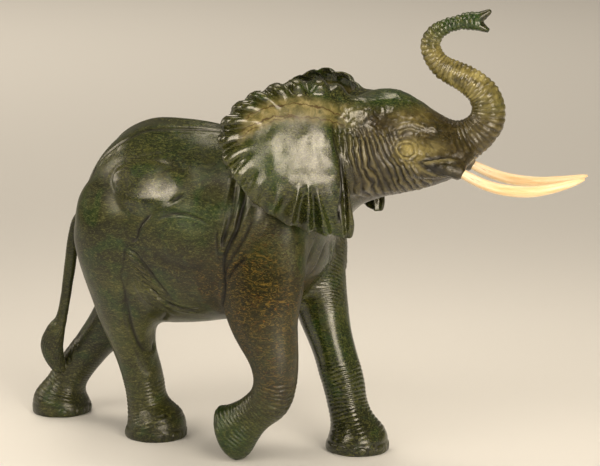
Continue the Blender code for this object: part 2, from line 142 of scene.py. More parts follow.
def skin_rings(name, rings):
    """A closed skin over rings of equal count, with a fan of faces at each end."""
    count, sides, _ = rings.shape
    vertices = list(rings.reshape(-1, 3)) + [rings[0].mean(0), rings[-1].mean(0)]
    first, last = count * sides, count * sides + 1
    faces = []
    for j in range(sides):
        k = (j + 1) % sides
        faces += [(i * sides + j, i * sides + k, (i + 1) * sides + k, (i + 1) * sides + j)
                  for i in range(count - 1)]
        faces.append((first, k, j))
        faces.append((last, (count - 1) * sides + j, (count - 1) * sides + k))
    return new_object(name, vertices, faces)


# %% Upright barrels and bent limbs
# A rounded end is four more rings, each smaller and further out, at these angles. A limb's near
# end, which is always inside the body, reaches out by 0.6 of its radius.
ROUNDING = [math.radians(a) for a in (20, 40, 60, 80)]
START_CAP = 0.6
SIDEWAYS = np.array([0, 1.0, 0])


def barrel(name, rows, back_cap, front_cap, crest=1.0):
    """A body of upright rings. A crest over 1 draws the back in towards a ridge."""
    rows = flow(rows)
    around = np.linspace(0, 2 * math.pi, 48, endpoint=False)
    rise, out = np.cos(around), np.sin(around)

    def ring(x, row, share=1.0):
        _, top, bottom, half, middle = row
        z = middle + np.where(rise > 0, top - middle, middle - bottom) * rise * share
        y = half * share * np.sign(out) * np.abs(out) ** np.where(rise > 0, crest, 0.95)
        return np.stack([np.full_like(y, x), y, z], -1)

    rings = [ring(rows[0][0] - back_cap * math.sin(a), rows[0], math.cos(a))
             for a in ROUNDING[::-1]]
    rings += [ring(row[0], row) for row in rows]
    rings += [ring(rows[-1][0] + front_cap * math.sin(a), rows[-1], math.cos(a)) for a in ROUNDING]
    return skin_rings(name, np.array(rings) * UNIT)


def limb(name, rows, end_cap=0.0, side=1):
    """Rings square to a bent centre line, with a rounded far end where its cap is over 0."""
    rows = flow(rows)
    centre = rows[:, :3]
    along = np.gradient(centre, axis=0)
    along /= np.linalg.norm(along, axis=1)[:, None]
    across = SIDEWAYS - (along @ SIDEWAYS)[:, None] * along
    across /= np.linalg.norm(across, axis=1)[:, None]
    deep = np.cross(along, across)
    turn = np.linspace(0, 2 * math.pi, 32, endpoint=False)[:, None]

    def ring(i, shift=0.0, share=1.0):
        offset = np.cos(turn) * across[i] * rows[i, 3] + np.sin(turn) * deep[i] * rows[i, 4]
        return centre[i] + along[i] * shift + offset * share

    reach = START_CAP * min(rows[0, 3:5])
    rings = [ring(0, -reach * math.sin(a), math.cos(a)) for a in ROUNDING[::-1]]
    rings += [ring(i) for i in range(len(rows))]
    if end_cap:
        reach = end_cap * min(rows[-1, 3:5])
        rings += [ring(-1, reach * math.sin(a), math.cos(a)) for a in ROUNDING]
    rings = np.array(rings)
    rings[..., 1] *= side
    return skin_rings(name, rings * UNIT)


print("a rounded end has", len(ROUNDING), "rings more")

# %% [markdown]
# ## The masses of the figure
#
# These are the same stations as the solid model's, because the visual model has to keep its
# form. The barrel and the head are upright rings. The legs, the tail and the trunk are rings
# square to a bent line. The elephant walks, so each leg has its own stations: the right foreleg
# is lifted and bent, and the left hind leg pushes off behind.

# %% Stations of the body
# Barrel and head: forward place, top, bottom, half width and height of the widest point.
TORSO = [
    (-188, 254, 160, 34, 205), (-178, 277, 140, 52, 207), (-158, 299, 124, 68, 210),
    (-125, 316, 116, 76, 210), (-80, 317, 118, 80, 206), (-35, 312, 126, 82, 206),
    (5, 312, 134, 75, 210), (30, 313, 148, 64, 220), (52, 306, 172, 50, 232),
]
HEAD = [
    (5, 312, 190, 52, 258), (45, 324, 198, 50, 264), (74, 340, 221, 46, 276),
    (94, 350, 243, 44, 288), (112, 356, 252, 42, 297), (130, 356, 257, 40, 300),
    (148, 348, 261, 36, 298), (166, 336, 266, 31, 296), (182, 328, 272, 25, 298),
]
# Limbs: centre (forward, left, up), half width across and half depth.
RIGHT_HIND = [
    (-118, -38, 264, 16, 30), (-126, -43, 236, 34, 58), (-130, -44, 200, 35, 57),
    (-133, -39, 162, 32, 46), (-137, -31, 127, 27, 32), (-136, -22, 92, 22, 22),
    (-130, -16, 60, 21, 20.5), (-127, -14, 38, 21, 20), (-124, -13, 26, 24, 24),
    (-119, -13, 14, 30, 31), (-118, -13, 4, 31, 32.5), (-118, -13, -3, 30, 31),
]
LEFT_HIND = [
    (-112, 38, 264, 16, 28), (-122, 43, 236, 34, 54), (-137, 45, 196, 35, 52),
    (-157, 41, 150, 32, 42), (-185, 36, 110, 26, 28), (-214, 32, 76, 21, 20),
    (-238, 29, 46, 19.5, 19), (-247, 28, 30, 21, 21), (-251, 27, 16, 29, 30),
    (-252, 27, 4, 31, 32), (-252, 27, -3, 30, 31),
]
RIGHT_FORE = [
    (18, -34, 272, 14, 24), (16, -42, 240, 26, 42), (19, -50, 200, 29, 45),
    (20, -54, 165, 28, 42), (24, -54, 135, 26, 34), (33, -54, 105, 23, 25),
    (35, -54, 82, 21, 21), (29, -53, 62, 20, 20.5), (13, -52, 48, 18, 19),
    (-2, -52, 35, 21, 23), (-12, -52, 26, 24.5, 28), (-16, -52, 24, 25, 29),
]
LEFT_FORE = [
    (16, 34, 266, 14, 22), (20, 42, 232, 26, 34), (27, 46, 200, 28, 36),
    (32, 42, 165, 27, 32), (45, 37, 125, 24, 25), (57, 33, 95, 22, 21),
    (68, 30, 65, 21, 21), (74, 28, 42, 20, 20), (79, 27, 28, 22, 22),
    (83, 27, 14, 30, 30), (84, 27, 4, 31.5, 32), (84, 27, -3, 30.5, 31),
]
TAIL = [
    (-184, 0, 224, 7, 9), (-207, 0, 213, 6.5, 8), (-217, 0, 192, 5.5, 6.5),
    (-223, 0, 158, 5, 6), (-229, 0, 126, 4.5, 5.5), (-234, 0, 106, 5, 6),
    (-241, 0, 92, 8, 10), (-247, 2, 75, 9, 12), (-245, 6, 58, 8, 9), (-240, 10, 48, 5, 5),
]
# The trunk leaves the face level, climbs, leans back and reaches forward again.
TRUNK = [
    (148, 0, 302, 27, 28), (168, 0, 301, 24.5, 27), (187, 0, 306, 20, 22),
    (200, 0, 312.5, 17.5, 19), (209, 0, 319.5, 16, 17), (215, 0, 328, 15, 16.3),
    (216.5, 0, 339, 14.5, 15.7), (213, 0, 351, 14, 15), (205, 0, 360, 13.3, 14.1),
    (194, 0, 367, 12.5, 13.3), (183, 0, 372, 11.8, 12.5), (173, 0, 377, 11, 11.5),
    (165, 0, 385, 10.2, 10.5), (160.5, 0, 395, 9.5, 9.8), (162.5, 0, 405, 8.8, 9),
    (170, 0, 412, 8.1, 8.2), (181, 0, 417, 7.7, 7.8), (193, 0, 419.5, 7.7, 7.9),
    (203, 0, 420.3, 7.8, 8.4),
]
# The trunk's end splits into two fingers, round the nostril.
UPPER_FINGER = [(193, 0, 421, 7.5, 7.0), (203, 0, 422.5, 7.4, 6.4), (210, 0, 425.5, 6.2, 4.6),
                (217, 0, 430, 3.2, 2)]
LOWER_FINGER = [(193, 0, 419, 7.5, 7.0), (203, 0, 417.5, 7.4, 6.2), (209, 0, 414.5, 6.2, 4.4),
                (215.5, 0, 411, 3.4, 2.2)]
# Left-side masses of the head; the right side is their mirror image.
EAR_ROOT = [(78, 40, 334, 13, 20), (92, 34, 332, 15, 21), (105, 26, 331, 16, 21),
            (118, 18, 330, 15, 20)]
CHEEK = [(74, 41, 294, 17, 36), (90, 39, 292, 16, 35), (112, 34, 288, 10.5, 27)]
SHEATH = [(138, 30, 292, 11, 12), (160, 32, 289, 11.5, 11.5), (182, 31, 287, 10.5, 10.5)]
SHEATH_MOUTH = (197, 30, 283)
SHEATH_END_RADIUS = 7.8
TRUNK_WEB = [(150, 15, 303, 20, 22), (170, 17, 300, 18, 18), (186, 18, 298, 15.5, 15.5),
             (197, 18, 297, 12, 12), (201, 18, 296, 9, 9)]
limbs = (RIGHT_HIND, LEFT_HIND, RIGHT_FORE, LEFT_FORE, TAIL, TRUNK)
print("stations:", len(TORSO) + len(HEAD) + sum(len(rows) for rows in limbs))

# %% [markdown]
# ## The turned head
#
# The elephant looks a little to its left. Each piece of the head is made straight, where it is
# easy to keep both sides alike, and is then moved along a neck that bends by 11 degrees. The
# ears and tusks are stiff, so they turn without bending.

# %% Bending the neck
HEAD_TURN = math.radians(11)
NECK_START, NECK_END = 20.0, 95.0
NECK_X = np.linspace(-400, 500, 3601)


def neck_angle(x):
    """How far the neck has turned at a place along it."""
    return HEAD_TURN * step(NECK_START, NECK_END, x)


def neck_line():
    """The middle line of the turned neck and head, as its forward and its sideways place."""
    middle = (NECK_X[1:] + NECK_X[:-1]) / 2
    pace = NECK_X[1] - NECK_X[0]
    forward = NECK_X[0] + np.concatenate([[0], np.cumsum(np.cos(neck_angle(middle)) * pace)])
    sideways = np.concatenate([[0], np.cumsum(np.sin(neck_angle(middle)) * pace)])
    return forward, sideways


NECK_FORWARD, NECK_SIDEWAYS = neck_line()


def turned(points, stiff=False):
    """Points of the straight head, in units, moved to the turned head."""
    points = np.array(points, float)
    x = np.full_like(points[..., 0], NECK_END) if stiff else points[..., 0]
    ahead = points[..., 0] - x
    angle = neck_angle(x)
    out = points.copy()
    out[..., 0] = (np.interp(x, NECK_X, NECK_FORWARD) + ahead * np.cos(angle)
                   - points[..., 1] * np.sin(angle))
    out[..., 1] = (np.interp(x, NECK_X, NECK_SIDEWAYS) + ahead * np.sin(angle)
                   + points[..., 1] * np.cos(angle))
    return out


def in_head(points):
    """The way back: places on the stiff part of the turned head, as if it were straight."""
    pivot = turned([(NECK_END, 0, 0)])[0]
    away = points - pivot
    cos, sin = math.cos(HEAD_TURN), math.sin(HEAD_TURN)
    return np.stack([NECK_END + away[:, 0] * cos + away[:, 1] * sin,
                     -away[:, 0] * sin + away[:, 1] * cos, points[:, 2]], -1)


def vertex_array(made, kind="co"):
    """The places or the normals of an object's points, as an array."""
    flat = np.empty(len(made.data.vertices) * 3, np.float32)
    made.data.vertices.foreach_get(kind, flat)
    return flat.reshape(-1, 3).astype(float)


def put_vertices(made, places):
    """Move an object's points to new places."""
    made.data.vertices.foreach_set("co", np.asarray(places, np.float32).ravel())
    made.data.update()


def turn_with_head(made):
    """Move a piece of the straight head to the turned head."""
    put_vertices(made, turned(vertex_array(made) / UNIT) * UNIT)
    return made


print("the trunk's tip is at", [round(float(v), 1) for v in turned([TRUNK[-1][:3]])[0]])

# %% [markdown]
# ## The ears
#
# An African elephant's ear is a thin flap that swells in the middle and hangs in flutes towards
# its rim. Here it is a sheet with two faces. Each lobe of the rim has its own place, height and
# length, because the carver cut them by eye: short curled lobes along the top, long soft flutes
# below. A deep pleat runs down behind the front edge.

# %% Sizes of the ears
EAR_FLARE = math.radians(26)
EAR_HINGE = (78, 54)
EAR_THICKNESS = 7.0
EAR_RIM_THICKNESS = 4.6
EAR_OUTLINE = [
    (-27, 349), (-15, 360), (0, 366), (22, 368), (44, 366), (62, 360), (80, 352), (93, 340),
    (102, 325), (103, 311), (98, 294), (85, 274), (70, 257), (48, 241), (24, 231), (3, 226),
    (-17, 222), (-22, 229), (-20, 246), (-16, 270), (-11, 296), (-8, 320), (-20, 340),
]
EAR_CENTRE = (24, 306)
# How far the flap swells out, the height of its fullest place, and how soon it falls away from
# there, backwards and upwards.
EAR_BELLY = 17
EAR_BELLY_HEIGHT = 271
EAR_BELLY_SPREAD = (118, 92)
# How far its top front corner is drawn in to the temple, and its front edge to the cheek.
EAR_TUCK = 12
CHEEK_TUCK = 11
# The pleat behind the front edge: its depth, and its places as height and distance back.
PLEAT_DEPTH = 9.0
PLEAT_LINE = [(222, -14.8), (230, -14.5), (258, -12.4), (295, -9.4), (327, -3.2), (331, -1.0)]
# The left ear hangs higher and further forward at its foot than the right one.
LEFT_EAR_SWING = (9, 8)
# Lobes: distance of the crest along the rim from the top front, its height, and at what share
# of the way from the middle to the rim it begins.
EAR_LOBES = [
    (-4, 0.5, 0.86), (19, 3.4, 0.84), (41, 5.4, 0.80), (65, 6.0, 0.76), (84, 4.8, 0.74),
    (104, 5.4, 0.66), (124, 4.0, 0.70), (142, 4.8, 0.60), (162, 3.4, 0.68), (179, 4.0, 0.60),
    (198, 2.8, 0.66), (221, 2.6, 0.64), (243, 4.2, 0.56), (264, 8.0, 0.44), (283, 9.0, 0.38),
    (301, 8.6, 0.42), (326, 2.5, 0.60), (345, 0.2, 0.8),
]
# The flutes down the back of the ear sweep upwards as they run in from the rim.
EAR_SWEEP = 46
# Swellings and dents on the smooth middle: back, height, half sizes, height off the sheet.
EAR_SWELLINGS = [
    (30, 300, 27, 30, -0.9), (19, 311, 5, 9, -0.5), (2, 294, 9, 7, 0.6), (2, 283, 9, 4, -0.5),
    (46, 320, 7, 6, 0.3), (36, 290, 6, 9, 0.3),
]
# The far ear hangs lower at its top front, and its lobes are shallower.
LEFT_EAR_DROP = 7
LEFT_EAR_LOBES = 0.5
print("lobes round each ear:", len(EAR_LOBES))


# %% The rim, and the lobes along it
def ear_rim():
    """The ear's outline at an even pace, with the distance run along it from the top front."""
    rim = flow(EAR_OUTLINE, 24, closed=True)
    loop = np.vstack([rim, rim[:1]])
    run = np.concatenate([[0], np.cumsum(np.linalg.norm(np.diff(loop, axis=0), axis=1))])
    even = np.linspace(0, run[-1], int(run[-1] / 0.9), endpoint=False)
    return np.stack([np.interp(even, run, loop[:, i]) for i in (0, 1)], -1), even


def lobes_at(run, share):
    """How far the sheet stands out at a share of the way to the rim."""
    place, height, start = (np.array(column, float) for column in zip(*EAR_LOBES))
    run = run + EAR_SWEEP * (1 - share) * step(50, 110, run) * step(262, 205, run)
    count = np.interp(run, place, np.arange(len(place)))
    tall = np.interp(run, place, height)
    begins = np.interp(run, place, start)
    grown = np.clip((share - begins) / (1.0 - begins), 0, 1)
    wave = np.cos(2 * math.pi * count)
    # Along the top, round crests with narrow valleys that swell and roll over at the rim.
    knob = (0.75 - 1.75 * (0.5 - 0.5 * wave) ** 2.2) * np.sin(grown**1.3 * math.pi * 0.64) ** 1.2
    # Lower down, narrow crests over broad hollows, like hanging cloth.
    drape = (1.4 * (0.5 + 0.5 * wave) ** 1.1 - 0.75) * np.sin(grown * math.pi * 0.56) ** 1.3
    hanging = step(216, 240, run)
    outside = (run > place[-1]) | (run < place[0])
    return np.where(outside, 0, tall * (knob + hanging * (drape - knob)))


print("the rim is", round(ear_rim()[1][-1]), "mm long")


# %% The ear's sheet and its flap
def ear_sheet(back, height, share, run, side):
    """The place of the ear's middle face above its hinge plane, in units."""
    belly = EAR_BELLY * (1 - ((height - EAR_BELLY_HEIGHT) / EAR_BELLY_SPREAD[1]) ** 2
                         - ((back - EAR_CENTRE[0]) / EAR_BELLY_SPREAD[0]) ** 2)
    belly -= 5 * share**4 * step(290, 250, height)
    for b, h, wide, tall, proud in EAR_SWELLINGS:
        belly = belly + proud * np.exp(-(((back - b) / wide) ** 2) - ((height - h) / tall) ** 2)
    upper = step(296, 326, height)
    curl = upper * (6 * np.clip((share - 0.90) / 0.10, 0, 1) ** 2 + 0.8 * bell(share - 0.80, 0.05))
    level, pleat_back = zip(*PLEAT_LINE)
    deep = (PLEAT_DEPTH * np.clip((331 - height) / 9, 0, 1)
            * np.clip((height - 222) / 30 + 0.5, 0, 1))
    from_pleat = back - np.interp(height, level, pleat_back)
    pleat = deep * np.where(from_pleat > 0, bell(from_pleat, 3.2), bell(from_pleat, 1.8))
    inward = EAR_TUCK * step(8, -26, back) * step(318, 336, height)
    # In front of the pleat the flap is sunk in the cheek, down to where its lappet hangs free.
    sunk = step(0.5, -4.5, from_pleat) * step(268, 284, height) * step(338, 326, height)
    inward += CHEEK_TUCK * sunk
    lobes = lobes_at(run, share) * (LEFT_EAR_LOBES if side > 0 else 1)
    return belly + lobes - curl - pleat - inward


def ear(name, side):
    """One ear flap, closed all round, already turned with the head."""
    rim, run = ear_rim()
    centre = np.array(EAR_CENTRE, float)
    shares = np.linspace(0, 1, 64)
    sheets = {1: [], -1: []}
    for share in shares:
        place = centre + (rim - centre) * share
        # A crest reaches a little further out than a valley, which scallops the rim.
        high = step(270, 310, rim[:, 1])
        reach = lobes_at(run, share) * (0.0015 + 0.0062 * high)
        reach *= LEFT_EAR_LOBES if side > 0 else 1
        place = centre + (place - centre) * (1 + reach)[:, None]
        back, height = place[:, 0], place[:, 1]
        if side > 0:
            height = height - LEFT_EAR_DROP * step(34, -15, back) * step(318, 350, height)
        proud = ear_sheet(back, height, share, run, side)
        thickness = EAR_THICKNESS + (EAR_RIM_THICKNESS - EAR_THICKNESS) * share
        for face in (1, -1):
            off = proud + face * thickness * (0.25 if share == 1 else 0.5)
            x = EAR_HINGE[0] - back * math.cos(EAR_FLARE) + off * math.sin(EAR_FLARE)
            y = EAR_HINGE[1] + back * math.sin(EAR_FLARE) + off * math.cos(EAR_FLARE)
            swing = np.clip((300 - height) / 70, 0, 1) * (side > 0)
            sheets[face].append(np.stack([x + LEFT_EAR_SWING[1] * swing, side * y,
                                          height + LEFT_EAR_SWING[0] * swing], -1))
    front, rear = np.array(sheets[1]), np.array(sheets[-1])
    rows, sides = len(shares) - 1, len(rim)
    vertices = [front[0].mean(0), rear[0].mean(0),
                *front[1:].reshape(-1, 3), *rear[1:].reshape(-1, 3)]
    faces = []
    for j in range(sides):
        k = (j + 1) % sides
        fore = [2 + i * sides for i in range(rows)]
        aft = [2 + (rows + i) * sides for i in range(rows)]
        faces += [(0, fore[0] + j, fore[0] + k), (1, aft[0] + k, aft[0] + j)]
        for a, b in zip(range(rows - 1), range(1, rows)):
            faces.append((fore[a] + j, fore[b] + j, fore[b] + k, fore[a] + k))
            faces.append((aft[a] + j, aft[a] + k, aft[b] + k, aft[b] + j))
        faces.append((fore[-1] + j, aft[-1] + j, aft[-1] + k, fore[-1] + k))
    return new_object(name, turned(np.array(vertices), stiff=True) * UNIT, faces)


print("a flap is", EAR_THICKNESS, "mm thick, and", EAR_RIM_THICKNESS, "at its rim")

# %% [markdown]
# ## From masses to one skin
#
# Overlapping masses look like sausages stuck together until the places where they meet are
# filled and eased. The voxel Remesh modifier fuses them into one skin, and Smooth rounds the
# meetings, exactly as in the solid model. The body is fused coarsely first, so that the easing
# reaches far. Thin things (ears, tail, finger tips) join afterwards, on a fine grid that keeps
# their edges.

# %% Fusing and easing
COARSE_CELL = 3.0 * UNIT
EASING_PASSES = 16
FINE_CELL = 0.95 * UNIT
FINE_PASSES = 3


def settled(made):
    """The object with its modifiers worked into its mesh."""
    name = made.name
    shaped = made.evaluated_get(bpy.context.evaluated_depsgraph_get())
    mesh = bpy.data.meshes.new_from_object(shaped)
    bpy.data.objects.remove(made)
    return placed(name, mesh)


def joined(name, pieces):
    """One mesh that holds several closed skins, which may run through each other."""
    work = bmesh.new()
    for piece in pieces:
        work.from_mesh(piece.data)
        bpy.data.objects.remove(piece)
    mesh = bpy.data.meshes.new(name)
    work.to_mesh(mesh)
    work.free()
    return placed(name, mesh)


def one_skin(made, cell, passes, finer=0):
    """Fuse overlapping skins into one outer skin, and ease it."""
    fuse = made.modifiers.new("Fuse", "REMESH")
    fuse.mode = "VOXEL"
    fuse.voxel_size = cell
    ease = made.modifiers.new("Ease", "SMOOTH")
    ease.iterations = passes
    ease.factor = 0.5
    if finer:
        round_out = made.modifiers.new("Round", "SUBSURF")
        round_out.levels = round_out.render_levels = finer
    return settled(made)


def flat_soles(made):
    """Cut the feet off level with the floor."""
    work = bmesh.new()
    work.from_mesh(made.data)
    everything = work.verts[:] + work.edges[:] + work.faces[:]
    cut = bmesh.ops.bisect_plane(work, geom=everything, plane_co=(0, 0, 0), plane_no=(0, 0, 1),
                                 clear_inner=True)
    edges = [e for e in cut["geom_cut"] if isinstance(e, bmesh.types.BMEdge)]
    bmesh.ops.holes_fill(work, edges=edges, sides=0)
    work.to_mesh(made.data)
    work.free()


print("fused on grids of", COARSE_CELL, "and", FINE_CELL, "m")

# %% One skin
masses = [barrel("torso", TORSO, 10, 14, crest=1.1), turn_with_head(barrel("head", HEAD, 5, 10))]
for name, rows in (("right_hind", RIGHT_HIND), ("left_hind", LEFT_HIND), ("left_fore", LEFT_FORE)):
    masses.append(limb(name, rows))
masses.append(limb("right_fore", RIGHT_FORE, end_cap=0.25))
masses.append(turn_with_head(limb("trunk", TRUNK, end_cap=0.3)))
sheath = SHEATH + [(*SHEATH_MOUTH, SHEATH_END_RADIUS, SHEATH_END_RADIUS)]
for side in (-1, 1):
    for name, rows, cap in (("ear_root", EAR_ROOT, 0.5), ("cheek", CHEEK, 0.5),
                            ("trunk_web", TRUNK_WEB, 0.6), ("sheath", sheath, 0.5)):
        masses.append(turn_with_head(limb(name, rows, end_cap=cap, side=side)))
block = one_skin(joined("block", masses), COARSE_CELL, EASING_PASSES, finer=1)
flat_soles(block)
thin = [limb("tail", TAIL), ear("right_ear", -1), ear("left_ear", 1)]
thin += [turn_with_head(limb(name, rows)) for name, rows in
         (("upper_finger", UPPER_FINGER), ("lower_finger", LOWER_FINGER))]
block = one_skin(joined("elephant", [block, *thin]), FINE_CELL, FINE_PASSES)
clock(f"one skin of {len(block.data.vertices)} vertices")

# %% [markdown]
# ## Carving by pushing the skin
#
# A fold or groove is a line on the skin. Every point of the skin near the line moves out or in
# along its own normal, by a bell curve of its distance from the line. The same few lines of
# numpy make a broad swelling, when the bell is wide, and a knife cut, when it is narrow.

# %% Noise and ridges
def hashed(cells, seed):
    """A number from 0 to 1 for each whole-numbered place, the same on every run."""
    n = (cells[..., 0] * 374761393 + cells[..., 1] * 668265263 + cells[..., 2] * 1442695041
         + seed * 97531)
    n = (n ^ (n >> 13)) * 1274126177
    return ((n ^ (n >> 16)) & 0xFFFF) / 0xFFFF


def cloud(points, size, seed=0):
    """Smooth noise from -1 to 1, whose blobs are about one size across."""
    place = points / size
    low = np.floor(place).astype(np.int64)
    share = step(0, 1, place - low)
    total = np.zeros(len(points))
    for corner in itertools.product((0, 1), repeat=3):
        weight = np.prod(np.where(corner, share, 1 - share), axis=1)
        total += weight * hashed(low + np.array(corner), seed)
    return 2 * total - 1


def ridge(count):
    """Round ridges at the whole numbers, narrow grooves halfway between them."""
    return np.abs(np.cos(math.pi * count)) ** 0.75 - 0.62


print("noise at three places:", cloud(np.eye(3), 0.7).round(2))


# %% Cutting along a line
def near_line(place, normal, line, reach):
    """Points near a bent line: how far away, how far along it (0 to 1), and on which side."""
    low, high = line.min(0) - reach, line.max(0) + reach
    near = np.nonzero(((place > low) & (place < high)).all(1))[0]
    away, along, beside = np.full(len(near), np.inf), np.zeros(len(near)), np.zeros(len(near))
    lengths = np.linalg.norm(np.diff(line, axis=0), axis=1)
    done = 0.0
    for a, b, length in zip(line[:-1], line[1:], lengths):
        span = b - a
        share = np.clip((place[near] - a) @ span / (span @ span), 0, 1)
        distance = np.linalg.norm(place[near] - a - share[:, None] * span, axis=1)
        closer = distance < away
        away[closer] = distance[closer]
        along[closer] = (done + share[closer] * length) / lengths.sum()
        across = np.cross(span / length, normal[near[closer]])
        beside[closer] = ((place[near[closer]] - a) * across).sum(1)
        done += length
    return near, away, along, beside


class Carving:
    """The skin being carved, in units, and the marks that its finish will read."""

    # In widths of a cut: how far it is worked out, how far beside it a lip lies, and how wide.
    REACH, LIP_AWAY, LIP_WIDTH = 3.6, 1.9, 1.2

    def __init__(self, made):
        self.made = made
        self.groove_shade = np.zeros(len(made.data.vertices))
        self.crest = np.zeros(len(made.data.vertices))
        self.fetch()

    def fetch(self):
        self.made.data.update()
        self.place = vertex_array(self.made) / UNIT
        self.normal = vertex_array(self.made, "normal")

    def push(self, near, depth, mark=True, pale_tops=True):
        """Move points out or in; note cuts for painted shade, tops for wear and painted highlight.
        """
        self.place[near] += self.normal[near] * depth[:, None]
        if mark:
            self.groove_shade[near] += np.minimum(depth, 0)
        if mark and pale_tops:
            self.crest[near] += np.maximum(depth, 0)

    def settle(self):
        put_vertices(self.made, self.place * UNIT)
        self.fetch()

    def cut(self, points, width, height, side=1, on_head=False, lip=0.0, blunt=False):
        """One fold or groove. A lip is a low swelling beside the cut."""
        line = flow(np.array(points, float) * (1, side, 1), 5)
        if on_head:
            line = turned(line)
        reach = self.REACH * width + 2
        near, away, along, beside = near_line(self.place, self.normal, line, reach)
        if not len(near):
            return
        fade = 1.0 if blunt else np.minimum(1, 4.5 * np.minimum(along, 1 - along) + 0.12)
        depth = height * bell(away, width)
        if lip:
            lips = bell(-side * beside - self.LIP_AWAY * width, self.LIP_WIDTH * width)
            depth = depth - lip * height * lips * (away < 3.5 * width)
        self.push(near, depth * fade, mark=not blunt, pale_tops=on_head)


print("points to carve:", len(block.data.vertices))

# %% [markdown]
# ## Large folds and swellings
#
# These come first: the hip bone, the spine, the lines of the flank, the folds behind the ear, the
# brow, the temple and the line of the mouth. They are broad and soft, because on the real piece
# they have been polished over. Where the ear grows out of the temple the skin is eased further.

# %% The large forms, and the hip bone's edge
LARGE_FORMS = [
    # points, width, height, on the head
    ([(-104, 68, 258), (-88, 70, 261), (-74, 71, 261)], 24, 1.4, False),
    ([(-160, 0, 300), (-110, 0, 318), (-50, 0, 315), (10, 0, 313)], 6, 2.2, False),
    ([(-84, 76, 219), (-66, 77, 240), (-40, 76, 243), (-12, 76, 236)], 9, 1.2, False),
    ([(61, 54, 219), (53, 70, 197), (34, 80, 174), (12, 81, 163)], 7, -0.9, False),
    ([(-4, 75, 150), (5, 76, 137), (15, 76, 119)], 6, -0.8, False),
    ([(137, 36, 322), (146, 32, 327), (157, 26, 327), (168, 20, 323)], 6, 3.0, True),
    ([(131, 31, 337), (124, 33, 332)], 9, -4.0, True),
    ([(158, 42, 289), (165, 41, 283), (176, 37, 279), (187, 33, 278)], 3, -2.6, True),
    ([(113, 42, 352), (126, 30, 354)], 10, 2.0, True),
    ([(146, 38, 305), (147, 38, 304)], 10, -2.0, True),
    ([(-97, 70, 158), (-100, 60, 138), (-104, 48, 118)], 13, 5.0, False),
    ([(-60, 76, 222), (-40, 78, 216)], 26, 2.5, False),
    ([(-66, 58, 292), (-46, 60, 291)], 9, 1.4, False),
    ([(-176, 60, 268), (-181, 58, 250), (-182, 56, 225)], 16, -3.2, False),
    ([(-93, 66, 160), (-84, 62, 152), (-82, 56, 147)], 5, 1.8, False),
    # Two round folds of skin hang from the shoulder, behind the ear.
    ([(-7, 60, 272), (-7, 66, 262), (-7, 71, 250), (-7, 77, 235), (-9, 79, 222), (-9, 80, 208)],
      3.0, 2.2, False),
    ([(3, 62, 268), (4, 66, 257), (3, 72, 244), (1, 77, 228), (-3, 78, 214), (-6, 80, 202)],
      3.0, 2.2, False),
    ([(15, 68, 246), (12, 72, 234), (8, 74, 222), (1, 75, 208), (-4, 76, 198)], 3.2, 1.6, False),
    ([(12, 77, 207), (6, 78, 201), (0, 78, 194), (-4, 75, 182)], 3.0, 1.8, False),
]
# The hip bone's edge: forward, up, and how wide its slope is.
HIP_EDGE = [
    (-123, 250, 13), (-130, 258, 6), (-133, 265, 3.4), (-131, 273, 2.8), (-118, 280, 2.8),
    (-100, 284, 3.4), (-84, 285, 6), (-68, 281, 11), (-54, 272, 18), (-48, 261, 24),
    (-54, 249, 26), (-74, 241, 24), (-94, 239, 20), (-114, 242, 17),
]
HIP_HEIGHT = 3.0


def from_edge(places, edge):
    """How far flat places lie inside a closed edge (outside is negative), and the nearest slope."""
    edge = flow(edge, 5, closed=True)
    ends = np.roll(edge, -1, axis=0)
    nearest, slope = np.full(len(places), np.inf), np.zeros(len(places))
    inside = np.zeros(len(places), bool)
    for a, b in zip(edge, ends):
        along = b[:2] - a[:2]
        share = np.clip((places - a[:2]) @ along / (along @ along), 0, 1)
        distance = np.linalg.norm(places - a[:2] - share[:, None] * along, axis=1)
        closer = distance < nearest
        nearest[closer] = distance[closer]
        slope[closer] = a[2] + share[closer] * (b[2] - a[2])
        crossing = (a[1] > places[:, 1]) != (b[1] > places[:, 1])
        if a[1] != b[1]:
            at = a[0] + (places[:, 1] - a[1]) * (b[0] - a[0]) / (b[1] - a[1])
            inside ^= crossing & (places[:, 0] < at)
    return np.where(inside, nearest, -nearest), slope


print(len(LARGE_FORMS), "large forms, and", len(HIP_EDGE), "places round the hip bone")

# %% Pushing out the large forms
skin = Carving(block)
for points, width, height, on_head in LARGE_FORMS:
    for side in (-1, 1) if points[0][1] else (1,):
        skin.cut(points, width, height, side, on_head, blunt=True)
for side in (-1, 1):
    near = np.nonzero((skin.place[:, 1] * side > 30) & (np.abs(skin.place[:, 0] + 94) < 60)
                      & (np.abs(skin.place[:, 2] - 262) < 40))[0]
    inside, slope = from_edge(skin.place[near][:, (0, 2)], HIP_EDGE)
    # The bone stands out most at its foot, so its face looks a little upwards.
    x, z = skin.place[near, 0], skin.place[near, 2]
    height = HIP_HEIGHT * (1 + 0.5 * (262 - z) / 22) + 1.6 * bell(x + 92, 20)
    rise = step(0, 1, (inside + 0.4 * slope) / slope)
    foot = 0.5 * bell(inside + slope * 0.9 + 1, 2) * (slope < 5)
    skin.push(near, height * rise - foot, mark=False)
skin.settle()
clock("large forms")


